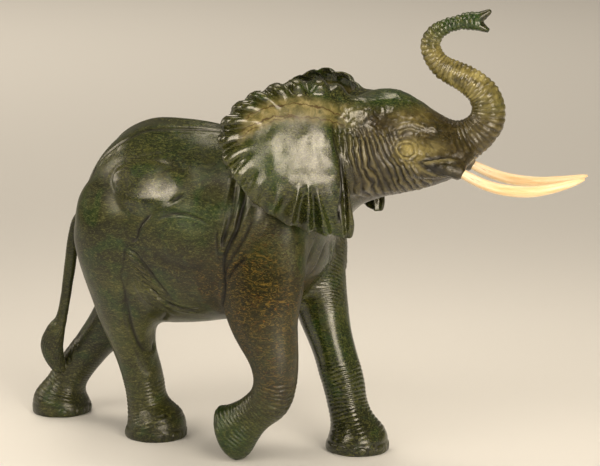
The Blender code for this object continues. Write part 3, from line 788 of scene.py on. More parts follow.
# %% Easing the ears into the temples
def smooth_where(skin, weight, passes):
    """Ease the skin, but only as far as the weight at each point asks."""
    edges = np.empty(len(skin.made.data.edges) * 2, np.int32)
    skin.made.data.edges.foreach_get("vertices", edges)
    ends = edges.reshape(-1, 2)
    active = np.nonzero((weight[ends] > 0.001).any(1))[0]
    ends = ends[active]
    points = np.unique(ends)
    index = np.full(len(weight), -1)
    index[points] = np.arange(len(points))
    a, b = index[ends[:, 0]], index[ends[:, 1]]
    count = np.bincount(a, minlength=len(points)) + np.bincount(b, minlength=len(points))
    place, share = skin.place[points], weight[points][:, None]
    for _ in range(passes):
        total = np.stack([np.bincount(a, place[b, i], len(points))
                          + np.bincount(b, place[a, i], len(points)) for i in range(3)], -1)
        place += share * 0.8 * (total / count[:, None] - place)
    skin.place[points] = place
    skin.settle()


EAR_ROOT_PASSES = 60
# Above the pleat the ear grows out of the temple without a step.
head_place = in_head(skin.place)
for side in (-1, 1):
    blend = (bell(head_place[:, 0] - 92, 17) * bell(head_place[:, 1] * side - 40, 17)
             * step(322, 334, head_place[:, 2]) * (1 - step(352, 362, head_place[:, 2])))
    smooth_where(skin, np.clip(1.4 * blend, 0, 1), EAR_ROOT_PASSES)
clock("ear roots eased")

# %% [markdown]
# ## Fold lines
#
# These lines are narrower than the solid's faces. Each is cut with a low lip beside it, so that
# it reads as one fold of skin lying over the next. The lines are given for the elephant's right
# side, and the left side gets their mirror image, as the carver would have kept both sides alike.

# %% Cutting the folds of the body
BODY_FOLDS = [
    # points on the right side, width, height, lip
    ([(-112, 78, 206), (-104, 78, 209), (-99, 78, 213), (-97, 78, 221), (-91, 78, 230),
      (-79, 77, 239), (-62, 77, 249), (-48, 75, 258), (-37, 74, 256), (-22, 74, 252),
      (-8, 74, 245)], 1.4, -2.6, 0.12),
    ([(-79, 79, 229), (-70, 80, 235), (-56, 80, 239), (-45, 79, 239), (-32, 79, 236),
      (-20, 79, 230)], 1.2, -2.0, 0.12),
    ([(-84, 79, 202), (-63, 80, 192), (-36, 80, 189), (-16, 79, 196)], 5.0, -0.9, 0.4),
    ([(-104, 78, 209), (-113, 78, 200), (-116, 75, 186), (-120, 75, 174), (-119, 70, 158),
      (-124, 60, 130)], 1.5, -1.2, 0.2),
    ([(-112, 77, 202), (-101, 78, 197), (-91, 77, 186), (-82, 75, 173), (-75, 71, 163),
      (-69, 63, 152)], 1.8, -1.5, 0.1),
    ([(-110, 77, 190), (-100, 76, 181), (-91, 74, 169), (-84, 68, 157)], 1.5, -0.7, 0.3),
    ([(-88, 73, 164), (-82, 66, 156), (-77, 58, 150), (-74, 50, 146)], 1.5, -2.6, 0.7),
    ([(-92, 68, 156), (-86, 60, 148), (-80, 52, 142), (-77, 46, 138)], 1.5, -2.4, 0.7),
    ([(-104, 74, 172), (-98, 69, 159), (-92, 62, 148), (-86, 52, 138)], 1.5, -1.2, 0.4),
    ([(-114, 73, 175), (-119, 63, 142), (-121, 49, 112), (-119, 34, 92), (-114, 22, 94),
      (-92, 40, 126), (-76, 60, 148)], 2.2, -1.7, 0.3),
    ([(-120, 72, 165), (-126, 58, 127), (-125, 43, 98), (-117, 31, 69), (-110, 18, 82)],
      2.2, -0.8, 0.3),
    ([(-78, 62, 148), (-66, 56, 142), (-50, 50, 138)], 1.8, -2.0, 0.6),
    ([(-74, 66, 154), (-62, 62, 147), (-44, 60, 143)], 1.3, -1.2, 0.6),
    ([(-13, 60, 270), (-14, 68, 252), (-14, 76, 232), (-13, 79, 212), (-11, 79, 196)],
      1.5, -1.8, 0.0),
    ([(-2, 63, 267), (-1, 69, 256), (-1, 74, 243), (-4, 78, 227), (-8, 79, 214), (-9, 78, 200)],
      1.5, -3.0, 0.0),
    ([(9, 63, 262), (9, 66, 253), (7, 71, 240), (5, 75, 227), (-1, 77, 214), (-6, 79, 200),
      (-8, 79, 188)], 1.6, -3.0, 0.0),
    ([(24, 66, 244), (18, 71, 232), (13, 74, 220), (5, 76, 206), (-2, 78, 192), (-6, 77, 182)],
      1.7, -2.2, 0.0),
    ([(-5, 79, 200), (-8, 77, 192), (-7, 76, 180), (-10, 74, 164), (-18, 62, 148),
      (-28, 44, 137)], 2.2, -2.6, 0.0),
    ([(18, 78, 204), (9, 79, 196), (2, 79, 188), (-3, 77, 178)], 1.5, -1.6, 0.4),
    ([(38, 62, 238), (30, 72, 214), (18, 78, 194), (10, 80, 178)], 1.6, -1.0, 0.4),
    ([(-168, 58, 252), (-166, 38, 274), (-149, 35, 291), (-131, 33, 301), (-118, 27, 308),
      (-90, 23, 312), (-46, 14, 312), (-10, 10, 311)], 2.6, -1.5, 0.5),
    ([(64, 25, 216), (59, 34, 194), (61, 49, 175), (52, 58, 160)], 2.4, -1.3, 0.4),
    ([(65, 5, 209), (61, 14, 191), (52, 22, 172)], 2.0, -1.0, 0.4),
]


def cut_lines(rows, on_head=False):
    """Cut each line of a table on both sides."""
    for points, width, height, lip in rows:
        for side in (-1, 1):
            skin.cut(points, width, height, side, on_head, lip)


cut_lines(BODY_FOLDS)
clock("folds of the body")

# %% Wrinkles before the thigh, and the ears' pleats
# Short rough wrinkles cross the fold in front of the thigh, slanting down towards the belly.
THIGH_FOLD = [(-114, 77, 205), (-104, 77, 190), (-95, 76, 176), (-86, 71, 162), (-77, 60, 149)]
for side in (-1, 1):
    line = flow(np.array(THIGH_FOLD, float) * (1, side, 1), 5)
    near, away, along, _ = near_line(skin.place, skin.normal, line, 16)
    here = skin.place[near]
    count = (here[:, 2] + 0.55 * here[:, 0]) / 4.8
    count += 0.5 * cloud(here, 9, 51) + 0.15 * cloud(here, 4, 53)
    ends = np.minimum(1, 5 * np.minimum(along, 1 - along))
    amount = bell(away, 9.0) * ends * (0.7 + 0.7 * cloud(here, 7, 52))
    skin.push(near, 2.0 * ridge(count) * amount)
# The ear overhangs its pleat.
PLEAT = [(85, 59, 327), (84, 62, 319), (87, 63, 308), (90, 60, 298), (91, 60, 284),
         (91, 61, 273), (91, 63, 262), (91, 65, 250), (91, 66, 238), (91, 67, 229)]
cut_lines([(PLEAT, 2.5, -5.0, 0.0)], on_head=True)
skin.settle()
clock("thigh and pleats")

# %% [markdown]
# ## Rings
#
# The trunk, the ankles and the wrist are ringed with fine folds. A ring belongs to its limb's
# centre line: the distance run along that line, divided by the rings' pitch, gives a number
# that goes up by one from each ring to the next. A rounded ridge with a narrow groove between
# two ridges is then one function of that number. A little noise makes the rings wander.

# %% Rings along a centre line
def run_along(place, rows, reach, turn=False):
    """Points near a limb: which they are, and how far along it."""
    line = flow(rows, 10)[:, :5]
    centre = turned(line[:, :3]) if turn else line[:, :3]
    run = np.concatenate([[0], np.cumsum(np.linalg.norm(np.diff(centre, axis=0), axis=1))])
    even = np.arange(0, run[-1], 1.5)
    centre = np.stack([np.interp(even, run, centre[:, i]) for i in range(3)], -1)
    size = np.interp(even, run, np.maximum(line[:, 3], line[:, 4]))
    tangent = np.gradient(centre, axis=0)
    tangent /= np.linalg.norm(tangent, axis=1)[:, None]
    low, high = centre.min(0) - 1.6 * size.max(), centre.max(0) + 1.6 * size.max()
    near = np.nonzero(((place > low) & (place < high)).all(1))[0]
    best = np.empty(len(near), int)
    for part in np.array_split(np.arange(len(near)), max(1, len(near) // 20000)):
        points = place[near[part]]
        square = (points**2).sum(1)[:, None] - 2 * points @ centre.T + (centre**2).sum(1)
        best[part] = square.argmin(1)
    offset = place[near] - centre[best]
    beyond = (offset * tangent[best]).sum(1)
    away = np.linalg.norm(offset - beyond[:, None] * tangent[best], axis=1)
    fits = (away < reach * size[best]) & (np.abs(beyond) < 6)
    return near[fits], (even[best] + beyond)[fits]


def ring(rows, amount_at, pitch, height, turn=False, wander=0.22, seed=1):
    """Rings round a limb. amount_at(run, place, normal) says how strong they are at each point."""
    near, run = run_along(skin.place, rows, 1.35, turn)
    place = skin.place[near]
    count = run / pitch + wander * cloud(place, 9.0, seed) + 0.1 * cloud(place, 3.5, seed + 5)
    amount = amount_at(run, place, skin.normal[near]) * (0.85 + 0.35 * cloud(place, 14, seed + 9))
    skin.push(near, height * ridge(count) * amount)


def between(low, high, fade, value):
    """1 between two values, fading to 0 inside each end."""
    return step(low, low + fade, value) * step(high, high - fade, value)


def at_heights(low, high, fade=9):
    """An amount for ring() that depends on height alone."""
    return lambda run, place, normal: between(low, high, fade, place[:, 2])


TRUNK_RUN = float(np.linalg.norm(np.diff(flow(TRUNK, 10)[:, :3], axis=0), axis=1).sum())
print("the trunk is", round(TRUNK_RUN), "mm long")

# %% Ringing the trunk and the legs
TRUNK_PITCH = 4.2
print("rings on the trunk:", round((TRUNK_RUN - 34) / TRUNK_PITCH))
ring(TRUNK, lambda run, place, normal: step(24, 56, run) * step(TRUNK_RUN + 6, TRUNK_RUN - 6, run),
     TRUNK_PITCH, 1.45, turn=True, wander=0.18, seed=3)
ring(RIGHT_HIND, at_heights(12, 64), 3.5, 0.9, seed=11)
ring(LEFT_HIND, at_heights(12, 62), 3.5, 0.9, seed=12)
ring(LEFT_FORE, at_heights(12, 92, 14), 3.8, 1.15, seed=13)
ring(RIGHT_FORE, lambda run, place, normal: between(186, 280, 12, run), 3.6, 1.05, seed=14)
# Slanted creases on the front of the left foreleg, above its knee.
near, run = run_along(skin.place, LEFT_FORE, 1.35)
place = skin.place[near]
count = (place[:, 2] + 0.75 * place[:, 1] - 0.4 * place[:, 0]) / 3.9 + 0.25 * cloud(place, 10, 17)
amount = between(122, 224, 26, place[:, 2]) * step(0.1, 0.7, skin.normal[near, 0])
skin.push(near, 0.8 * ridge(count) * amount)
skin.settle()
clock("rings")

# %% [markdown]
# ## The face
#
# Near-vertical wrinkles run down the cheek from the ear's pleat to the eye. They come from one
# field of numbers over the side of the head: at the back they stand upright, and towards the
# eye they lean forward. The eye is a low ball in a shallow socket, inside two lid ridges.

# %% Lines of the mouth, the brow and the lids
FACE_LINES = [
    # points on the left side of the straight head, width, height, lip
    ([(158, 41, 294), (163, 42, 291), (170, 41, 287), (178, 38, 284), (187, 36, 283)],
      1.7, -3.0, 0.4),
    ([(159, 41, 294), (166, 40, 296), (175, 37, 297), (185, 33, 297), (194, 30, 297)],
      1.6, -2.2, 0.5),
    ([(161, 41, 290), (170, 40, 284), (180, 38, 281), (188, 36, 281)], 1.3, -1.6, 0.5),
    ([(120, 38, 262), (140, 34, 262), (160, 28, 266), (178, 22, 271)], 2.2, -0.9, 0.4),
    ([(134, 39, 318), (142, 37, 324), (152, 33, 325), (162, 30, 320)], 1.3, -1.5, 0.6),
    ([(132, 38, 325), (142, 35, 331), (154, 30, 330), (166, 26, 324)], 1.3, -1.2, 0.6),
    ([(134, 36, 333), (146, 31, 338), (158, 26, 334)], 1.4, -0.9, 0.5),
    ([(156, 38, 312), (162, 36, 306), (166, 38, 298)], 1.2, -1.1, 0.5),
    ([(160, 35, 316), (168, 33, 309), (174, 34, 301)], 1.2, -0.9, 0.5),
]
cut_lines(FACE_LINES, on_head=True)
clock("lines of the face")

# %% Wrinkles and eyes
EYE = (146, 38.5, 304)
# From ridge to ridge, in units: the cheek's wrinkles, the fine ones between them, and the creases
# before the eye.
CHEEK_PITCH, FINE_PITCH, CREASE_PITCH = 4.7, 2.9, 2.6
head_place = in_head(skin.place)
for side in (-1, 1):
    x, y, z = head_place[:, 0], head_place[:, 1] * side, head_place[:, 2]
    near = np.nonzero((x > 82) & (x < 190) & (y > 8) & (z > 244) & (z < 356))[0]
    x, z, here = x[near], z[near], skin.place[near]
    # The cheek's wrinkles, upright at the ear and leaning towards the eye.
    down = 312 - z
    top = (x - 96 - 0.17 * down) / (1 + 0.0105 * down)
    count = top / CHEEK_PITCH + 0.45 * cloud(here, 12, 21) + 0.16 * cloud(here, 4, 23)
    amount = between(-9, 52, 9, top) * step(250, 264, z) * step(330, 312, z)
    amount *= (1 - bell(np.hypot(x - EYE[0], z - EYE[2]), 11)) * (0.9 + 0.6 * cloud(here, 13, 24))
    skin.push(near, 2.1 * ridge(count) * amount)
    count = top / FINE_PITCH + 0.6 * cloud(here, 9, 27)
    skin.push(near, 0.5 * ridge(count) * amount)
    # Fine creases run from the eye towards the trunk.
    count = (z + 0.25 * (x - 150)) / CREASE_PITCH + 0.6 * cloud(here, 8, 22)
    amount = step(153, 162, x) * step(200, 180, x) * step(284, 292, z) * step(330, 316, z)
    skin.push(near, 0.5 * ridge(count) * amount)
    # The temple and the brow are worked over with short crossing creases.
    drawn = here * (0.7, 1, 1)
    rough = 0.45 - np.abs(cloud(drawn, 3.4, 25)) * 1.3 + 0.6 * cloud(drawn, 2.0, 26)
    amount = step(80, 90, x) * step(186, 168, x) * step(304, 318, z) * step(356, 344, z)
    skin.push(near, (0.48 + 0.35 * step(128, 112, x)) * rough * amount)
    # The eye, a low ball inside two lids that meet in a point towards the trunk.
    risen = z - EYE[2] + 0.12 * (x - EYE[0])
    away = np.hypot((x - EYE[0]) * 0.86, risen) + 0.9 * cloud(here, 5, 28)
    angle = np.arctan2(z - EYE[2], x - EYE[0])
    upper = step(-0.3, 0.6, np.sin(angle))
    eye = 1.3 * np.sqrt(np.clip(1 - (away / 5.2) ** 2, 0, 1)) - 0.9 * bell(away - 5.6, 0.5)
    eye += 1.1 * bell(away - 7.5, 1.2) - 0.7 * bell(away - 9.4, 0.7)
    eye += 0.5 * bell(away - 11.2, 1.4) * upper
    skin.push(near, eye)
    # Painted shade in the mouth's cavity, between the lip and the trunk.
    skin.groove_shade[near] -= 2.0 * bell(x - 172, 12) * bell(z - 289 + 0.15 * (x - 172), 3.4)
skin.settle()
clock("face")

# %% [markdown]
# ## Feet and tail
#
# Each foot that stands has a few toenails: low shields with a groove round them. The tail is
# ringed down to its tuft, which is a bundle of strands that wind round it.

# %% Toenails
# The middle and the half width of each flat sole, and where the nails sit round it in degrees.
SOLES = [(-118, -13, 31.0), (-252, 27, 31.0), (84, 27, 31.5)]
NAIL_ANGLES = (-58, -18, 22, 60)
NAIL_HALF_WIDTH, NAIL_HALF_HEIGHT, NAIL_MIDDLE = 6.4, 4.8, 4.6
for x0, y0, wide in SOLES:
    near = np.nonzero((np.abs(skin.place[:, 0] - x0) < 46) & (np.abs(skin.place[:, 1] - y0) < 46)
                      & (skin.place[:, 2] < 26) & (skin.place[:, 2] > 0.4))[0]
    around = np.degrees(np.arctan2(skin.place[near, 1] - y0, skin.place[near, 0] - x0))
    up = skin.place[near, 2]
    band = 11.0 + 1.2 * cloud(skin.place[near], 18, 61)
    depth = -0.6 * bell(up - band, 1.2) * (0.7 + 0.6 * cloud(skin.place[near], 9, 62))
    for at in NAIL_ANGLES:
        across = (around - at) * math.radians(1) * wide / NAIL_HALF_WIDTH
        away = np.hypot(across, (up - NAIL_MIDDLE) / NAIL_HALF_HEIGHT)
        depth += 0.35 * (1 - step(0.75, 1.0, away)) - 0.7 * bell(away - 1.12, 0.14)
    skin.push(near, depth)
print(len(SOLES) * len(NAIL_ANGLES), "toenails")

# %% Rings and tuft of the tail
TUFT_START = 118.0
near, run = run_along(skin.place, TAIL, 2.2)
tail = flow(TAIL, 10)
tail_place = skin.place[near]
middle = np.stack([np.interp(-tail_place[:, 2], -tail[:, 2], tail[:, i]) for i in (0, 1)], -1)
angle = np.arctan2(tail_place[:, 1] - middle[:, 1], tail_place[:, 0] - middle[:, 0])
strand = 3.5 * angle + 0.10 * run + 0.5 * cloud(tail_place, 12, 31)
skin.push(near, 1.1 * ridge(strand) * step(TUFT_START, TUFT_START + 16, run))
rings = 0.25 * ridge(run / 3.4 + 0.2 * cloud(tail_place, 7, 32))
skin.push(near, rings * between(12, TUFT_START, 20, run))
skin.settle()
clock("feet and tail")

# %% [markdown]
# ## Tool marks and skin grain
#
# Under the polish the stone is never perfectly even. A few layers of noise, 0.2 to 0.6 mm high,
# break up the reflections on the smooth flanks and ears, and roughen the skin of the head.

# %% Unevenness
head_share = step(95, 130, in_head(skin.place)[:, 0]) * step(240, 262, skin.place[:, 2])
everywhere = np.arange(len(skin.place))
broad = 0.35 * cloud(skin.place, 26, 41) + 0.16 * cloud(skin.place, 9, 42)
skin.push(everywhere, broad, mark=False)
# The ear's flat middle is the least even, so that its reflection breaks up.
forward = in_head(skin.place)[:, 0]
ear_share = (step(96, 84, forward) * step(45, 60, np.abs(skin.place[:, 1]))
             * between(232, 345, 14, skin.place[:, 2]) * step(-12, 4, forward))
uneven = 0.55 * cloud(skin.place, 11, 45) + 0.2 * cloud(skin.place, 5, 46)
skin.push(everywhere, ear_share * uneven, mark=False)
rough = 0.30 * cloud(skin.place, 3.4, 43) + 0.18 * cloud(skin.place, 2.0, 44)
skin.push(everywhere, head_share * rough)
skin.settle()
clock("unevenness")

# %% [markdown]
# ## Fewer triangles
#
# The fine grid has far more triangles than the form needs on its smooth flanks. Decimate takes
# them out where the skin is flattest, and keeps them in the rings and folds. The marks that the
# finish reads are then looked up again at the nearest point of the fine skin.

# %% Thinning the skin
ELEPHANT_TRIANGLES = 196000
skin.place[:, 2] = np.maximum(skin.place[:, 2], 0)
skin.settle()
block = skin.made
fine_place, fine_groove_shade, fine_crest = skin.place.copy(), skin.groove_shade.copy(), skin.crest.copy()
block.data.calc_loop_triangles()
thin_out = block.modifiers.new("Thin", "DECIMATE")
thin_out.ratio = ELEPHANT_TRIANGLES / len(block.data.loop_triangles)
block = settled(block)
block.name = block.data.name = "elephant_carving"
tree = kdtree.KDTree(len(fine_place))
for i, point in enumerate(fine_place):
    tree.insert(point, i)
tree.balance()
place = vertex_array(block) / UNIT
nearest = np.array([tree.find(point)[1] for point in place])
clock(f"thinned to {len(block.data.polygons)} faces")

# %% [markdown]
# ## Where the figure stands in the row's frame
#
# The stations have an origin of their own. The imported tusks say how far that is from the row's
# origin, since their places in the stations' frame are known from the same numbers.

# %% Tusk sizes, and the shift to the row's frame
TUSK_LENGTH = 117.0
TUSK_ROOT = 8.6
TUSK_WIDEST = 10.6
SOCKET_DEPTH = 12.0
# Forward, outward, up, and the share of the widest diameter, from the socket's mouth on.
TUSK_SHAPE = [
    (0, 0, 0, TUSK_ROOT / TUSK_WIDEST), (12, 1.5, -5.5, 0.90), (25, 2.6, -10.5, 0.95),
    (38, 3, -13.5, 0.99), (52, 2.3, -15, 1.00), (66, 0, -15, 0.97), (80, -4, -13, 0.88),
    (94, -9.5, -10, 0.72), (106, -15, -6.5, 0.48), (112, -18, -4.5, 0.22),
]


def tusk_line(side):
    """Centre and radius along a tusk, in the stations' frame, with the part inside the bore."""
    shape = np.array(TUSK_SHAPE, float)
    fine = flow(shape[:, :3])
    scale = TUSK_LENGTH / np.linalg.norm(np.diff(fine, axis=0), axis=1).sum()
    centre = shape[:, :3] * scale * (1, side, 1)
    radius = shape[:, 3] * TUSK_WIDEST / 2
    inward = centre[0] - centre[1]
    inward *= SOCKET_DEPTH / np.linalg.norm(inward)
    centre = np.vstack([inward, inward / 2, centre])
    radius = np.concatenate([radius[:1], radius[:1], radius])
    rows = flow(np.column_stack([centre, radius]), 8)
    onward = (rows[-1, :3] - rows[-2, :3]) / np.linalg.norm(rows[-1, :3] - rows[-2, :3])
    tip = [(*(rows[-1, :3] + onward * rows[-1, 3] * reach), rows[-1, 3] * share)
           for reach, share in ((0.35, 0.92), (0.65, 0.72), (0.85, 0.4))]
    rows = np.vstack([rows, tip])
    cos, sin = math.cos(HEAD_TURN), math.sin(HEAD_TURN)
    mouth = turned([(SHEATH_MOUTH[0], side * SHEATH_MOUTH[1], SHEATH_MOUTH[2])])[0]
    x, y = rows[:, 0] * cos - rows[:, 1] * sin, rows[:, 0] * sin + rows[:, 1] * cos
    rows[:, 0], rows[:, 1] = x + mouth[0], y + mouth[1]
    rows[:, 2] += mouth[2]
    return rows


SHIFT = np.zeros(3)
for side, box in ((-1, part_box("tusk_right")), (1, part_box("tusk_left"))):
    rows = tusk_line(side) * UNIT
    onward = np.gradient(rows[:, :3], axis=0)
    onward /= np.linalg.norm(onward, axis=1)[:, None]
    # A disc square to the line reaches this far along each axis.
    reach = rows[:, 3:] * np.sqrt(1 - onward**2)
    low, high = (rows[:, :3] - reach).min(0), (rows[:, :3] + reach).max(0)
    SHIFT += (np.array(box[0]) + np.array(box[1]) - low - high) / 4
SHIFT[2] = 0.0
print("shift to the row's frame, in metres:", SHIFT.round(5))
put_vertices(block, vertex_array(block) + SHIFT)
for polygon in block.data.polygons:
    polygon.use_smooth = True

# %% [markdown]
# ## Marks for the finish
#
# The stone changes colour from place to place. Each mark is a number from 0 to 1 stored at the
# skin's points, worked out from where the point is: how deep in a groove or how high on a ridge
# it lies, how far along the trunk, or where on the ear. Depth in a groove gives painted shade,
# and height on a ridge a paler top, partly rubbed wear and partly painted highlight. The material
# reads the marks. They are stored with the points, so the colours keep to the carving whatever
# the triangles are.

# %% Where each mark is measured from
def patch(centre, size):
    """A soft round patch: 1 at its centre, fading out over its size along each axis."""
    return np.exp(-((((place - np.array(centre)) / np.array(size)) ** 2).sum(1)))


def head_patch(forward, up, wide, tall):
    """A soft patch on both sides of the head."""
    return bell(x - forward, wide) * bell(z - up, tall) * step(70, 84, x)


def run_on(rows, reach, turn=False):
    """The distance along a limb at each point near it, and 0 elsewhere."""
    near, run = run_along(place, rows, reach, turn)
    out = np.zeros(len(place))
    out[near] = run
    return out


x, y, z = in_head(place).T
on_head = step(84, 112, x) * step(232, 256, z)
cheek = head_patch(116, 286, 26, 24) * on_head
trunk, right_fore = run_on(TRUNK, 1.6, turn=True), run_on(RIGHT_FORE, 1.4)
hip = step(-4, 6, from_edge(place[:, (0, 2)], HIP_EDGE)[0])
eyes = (bell(x - EYE[0] - 1, 8.5) * bell(z - EYE[2] + 1, 8.5)
        + 0.6 * bell(x - 160, 7) * bell(z - 291, 6))
print("points on the head:", int((on_head > 0).sum()))

# %% The ear's own plane: how far back from its hinge and how high, for its bed and veins
ear_place = np.zeros((len(place), 3), np.float32)
tan, ear_green = np.zeros(len(place)), np.zeros(len(place))
BED = np.array([(88, 318), (80, 328), (66, 337), (52, 342), (31, 344), (8, 340), (-8, 335)], float)
for side in (-1, 1):
    out = y * side - EAR_HINGE[1]
    back = -(x - EAR_HINGE[0]) * math.cos(EAR_FLARE) + out * math.sin(EAR_FLARE)
    off = (x - EAR_HINGE[0]) * math.sin(EAR_FLARE) + out * math.cos(EAR_FLARE)
    beside = step(-9, -3, off) * (y * side > 0)
    on_ear = beside * step(-16, -9, back) * step(216, 224, z)
    from_bed = np.abs(z - np.interp(back, BED[::-1, 0], BED[::-1, 1]))
    on_bed = beside * step(14, 5, from_bed) * step(92, 74, back) * step(-40, -4, back)
    tan = np.maximum(tan, on_bed)
    ear_green = np.maximum(ear_green, on_ear * bell(back - 62, 22) * bell(z - 300, 24))
    ear_place[on_ear > 0] = np.stack([back, z, off], -1)[on_ear > 0]
attribute = block.data.attributes.new("ear_place", "FLOAT_VECTOR", "POINT")
attribute.data.foreach_set("vector", ear_place.ravel())
print("points on the ears:", int((ear_place[:, 1] > 0).sum()))

# %% Storing the marks
MARKS = {
    # Painted shade, deepest in cuts and the mouth's cavity; the cheeks are darkened all over too.
    "groove_shade": -fine_groove_shade[nearest] / 1.6 * (1 + 0.5 * cheek) + 0.24 * cheek,
    # Paler ridge tops: partly rubbed wear, partly painted highlight.
    "crest": (fine_crest[nearest] - 0.35) / 1.1,
    "tan": tan,
    # Brown ground under golden flecks: the shoulder, the right foreleg, the cheeks, the belly.
    "ochre": 0.9 * patch((22, -72, 190), (30, 40, 40)) + 0.75 * between(70, 230, 40, right_fore)
             + 0.2 * on_head * step(345, 322, z) + 0.3 * patch((-40, -80, 185), (40, 40, 24))
             + 0.35 * patch((40, 60, 180), (40, 50, 60)),
    # Clear green: the ears' middle, flank, crown, lip, trunk tip, back, and the two forefeet.
    "green": 0.65 * ear_green + 0.8 * patch((-45, -80, 236), (30, 30, 16))
             + 0.8 * head_patch(126, 350, 22, 12) + 0.9 * head_patch(184, 289, 12, 6) * (y < 0)
             + 1.1 * step(150, 195, trunk) + 0.5 * patch((-60, 0, 300), (70, 60, 14))
             + 0.5 * step(225, 262, right_fore) + 0.35 * patch((70, 30, 110), (40, 40, 60))
             + 0.4 * patch((90, -60, 240), (14, 30, 20)),
    "straw": 0.48 * head_patch(166, 305, 15, 8) + 0.72 * between(74, 205, 48, trunk)
             + 0.2 * between(40, 130, 40, trunk) + 1.2 * eyes * step(8, 14, np.abs(y))
             + 0.35 * head_patch(150, 332, 18, 8),
    # Less polished: the shoulder, the legs, and the hollows beside the hip bone.
    "satin": (0.35 * step(250, 226, z) * step(40, 0, x) + patch((38, -70, 190), (32, 40, 50))
              + 1.5 * patch((-154, -70, 246), (22, 30, 24)) * (1 - hip)
              + 1.4 * patch((-24, -78, 256), (26, 30, 20))) * (1 - on_head),
    "brown": on_head * step(348, 330, z) * step(110, 60, trunk) + 0.5 * between(20, 90, 20, trunk),
}
for name, values in MARKS.items():
    values = np.clip(values, 0, 1).astype(np.float32)
    block.data.attributes.new(name, "FLOAT", "POINT").data.foreach_set("value", values)
    print(f"{name:8s} mean {values.mean():.3f}")

# %% [markdown]
# ## How the materials are built
#
# A natural stone isn't one colour with dots on it: each mineral lies over or in the last. So a
# material here is a stack of coats. Each coat is one colour, laid where a mark and a noise
# pattern are both strong. The stack is a table, and one function turns it into nodes. It could
# be done node by node in the editor, but the table shows the order of the coats at a glance.

# %% One helper that adds a node, and colours from their hex values
def linear(hex_colour):
    """The linear values of an sRGB colour."""
    out = []
    for i in (1, 3, 5):
        c = int(hex_colour[i:i + 2], 16) / 255
        out.append(c / 12.92 if c <= 0.04045 else ((c + 0.055) / 1.055) ** 2.4)
    return (*out, 1.0)


def add_node(tree, kind, inputs=(), **settings):
    """Add a node, set its properties, and give its inputs their values or links."""
    node = tree.nodes.new(kind)
    for key, value in settings.items():
        setattr(node, key, value)
    for key, value in dict(inputs).items():
        if isinstance(value, bpy.types.Node):
            value = value.outputs[0]
        if isinstance(value, bpy.types.NodeSocket):
            tree.links.new(value, node.inputs[key])
        else:
            node.inputs[key].default_value = value
    return node


def new_material(name, **constants):
    """A material with its shader's own sockets set, its node tree and its shader."""
    material = bpy.data.materials.new(name)
    material.use_nodes = True
    shader = material.node_tree.nodes["Principled BSDF"]
    for key, value in constants.items():
        shader.inputs[key.replace("_", " ")].default_value = value
    return material, material.node_tree, shader


print("mid grey, linear:", round(linear("#808080")[0], 4))

# %% Coats of colour from tables
def lay_colours(tree, made, where, unit, patterns, ramps, coats):
    """Make patterns and ramps, kept by name in made, and lay the coats over the first ramp."""
    for name, size, detail, roughness, distortion, shift in patterns:
        scaled = add_node(tree, "ShaderNodeMapping",
                          {"Vector": where, "Location": shift, "Scale": [unit / s for s in size]})
        made[name] = add_node(tree, "ShaderNodeTexNoise", {
            "Vector": scaled, "Scale": 1, "Detail": detail, "Roughness": roughness,
            "Distortion": distortion})
    for name, pattern, *stops in ramps:
        made[name] = add_node(tree, "ShaderNodeValToRGB", {"Fac": made[pattern]})
        elements = made[name].color_ramp.elements
        while len(elements) < len(stops):
            elements.new(0.5)
        for element, (at, paint) in zip(elements, stops):
            element.position = at
            element.color = linear(paint)
    colour = made[ramps[0][0]]
    for mark, pattern, low, high, strength, paint in coats:
        factor = strength
        if pattern:
            factor = add_node(tree, "ShaderNodeMapRange", {
                "Value": made[pattern], "From Min": low, "From Max": high, "To Max": strength},
                interpolation_type="SMOOTHSTEP")
        if mark:
            factor = add_node(tree, "ShaderNodeMath", {0: made[mark], 1: factor},
                              operation="MULTIPLY")
        paint = linear(paint) if paint.startswith("#") else made[paint]
        colour = add_node(tree, "ShaderNodeMix", {0: factor, 6: colour, 7: paint},
                          data_type="RGBA").outputs[2]
    print(len(patterns), "patterns,", len(ramps), "ramps and", len(coats), "coats")
    return colour


# %% [markdown]
# ## The stone
#
# The real piece is serpentine, a dense green stone that is soft enough to cut with hand tools.
# It was rasped, sanded wet to a fine grit, and then waxed and rubbed. To the eye that gives dark,
# deep colours under a thin clear gloss, with sharp reflections on the body. The carved skin of
# the head keeps its scratches and glints in many small points. Sizes are those of the minerals,
# in millimetres. The beds of the stone lie level, so most patterns are drawn out forward and
# pressed flat. Grit of a tenth of a millimetre wouldn't show, so it is drawn 1.5 mm across.

# %% Patterns, ramps and coats of the stone
STONE_PATTERNS = [
    # name, blobs in mm along x, y and z, detail, roughness, distortion, shift
    ("clouds", (83.2, 52, 41.6), 3, 0.55, 0.6, (0, 0, 0)),
    ("green veil", (30, 30, 30), 3, 0.5, 0.8, (3, 1, 7)),
    ("blue veil", (12, 12, 12), 3, 0.55, 0.6, (9, 4, 2)),
    ("mottle", (5.72, 2.6, 2.08), 5, 0.72, 1.0, (1, 5, 3)),
    ("grain", (2.52, 1.4, 1.12), 3, 0.65, 0.4, (2, 2, 6)),
    ("earth", (6, 6, 6), 5, 0.68, 0.8, (6, 3, 5)),
    ("flecks", (8.4, 6.72, 3.36), 6, 0.74, 2.2, (7, 7, 1)),
    ("rust", (13.2, 8.4, 4.8), 5, 0.72, 2.2, (2, 8, 6)),
    ("straw beds", (10, 10, 10), 4, 0.60, 0.5, (5, 2, 9)),
    ("tan beds", (9, 9, 9), 5, 0.64, 0.8, (8, 8, 8)),
    ("polish", (16, 16, 16), 4, 0.6, 0.5, (4, 4, 4)),
    ("grit", (1.5, 1.5, 1.5), 5, 0.7, 0.3, (0, 0, 0)),
    ("scratches", (3.6, 2, 1.6), 4, 0.7, 0.8, (3, 9, 5)),
]
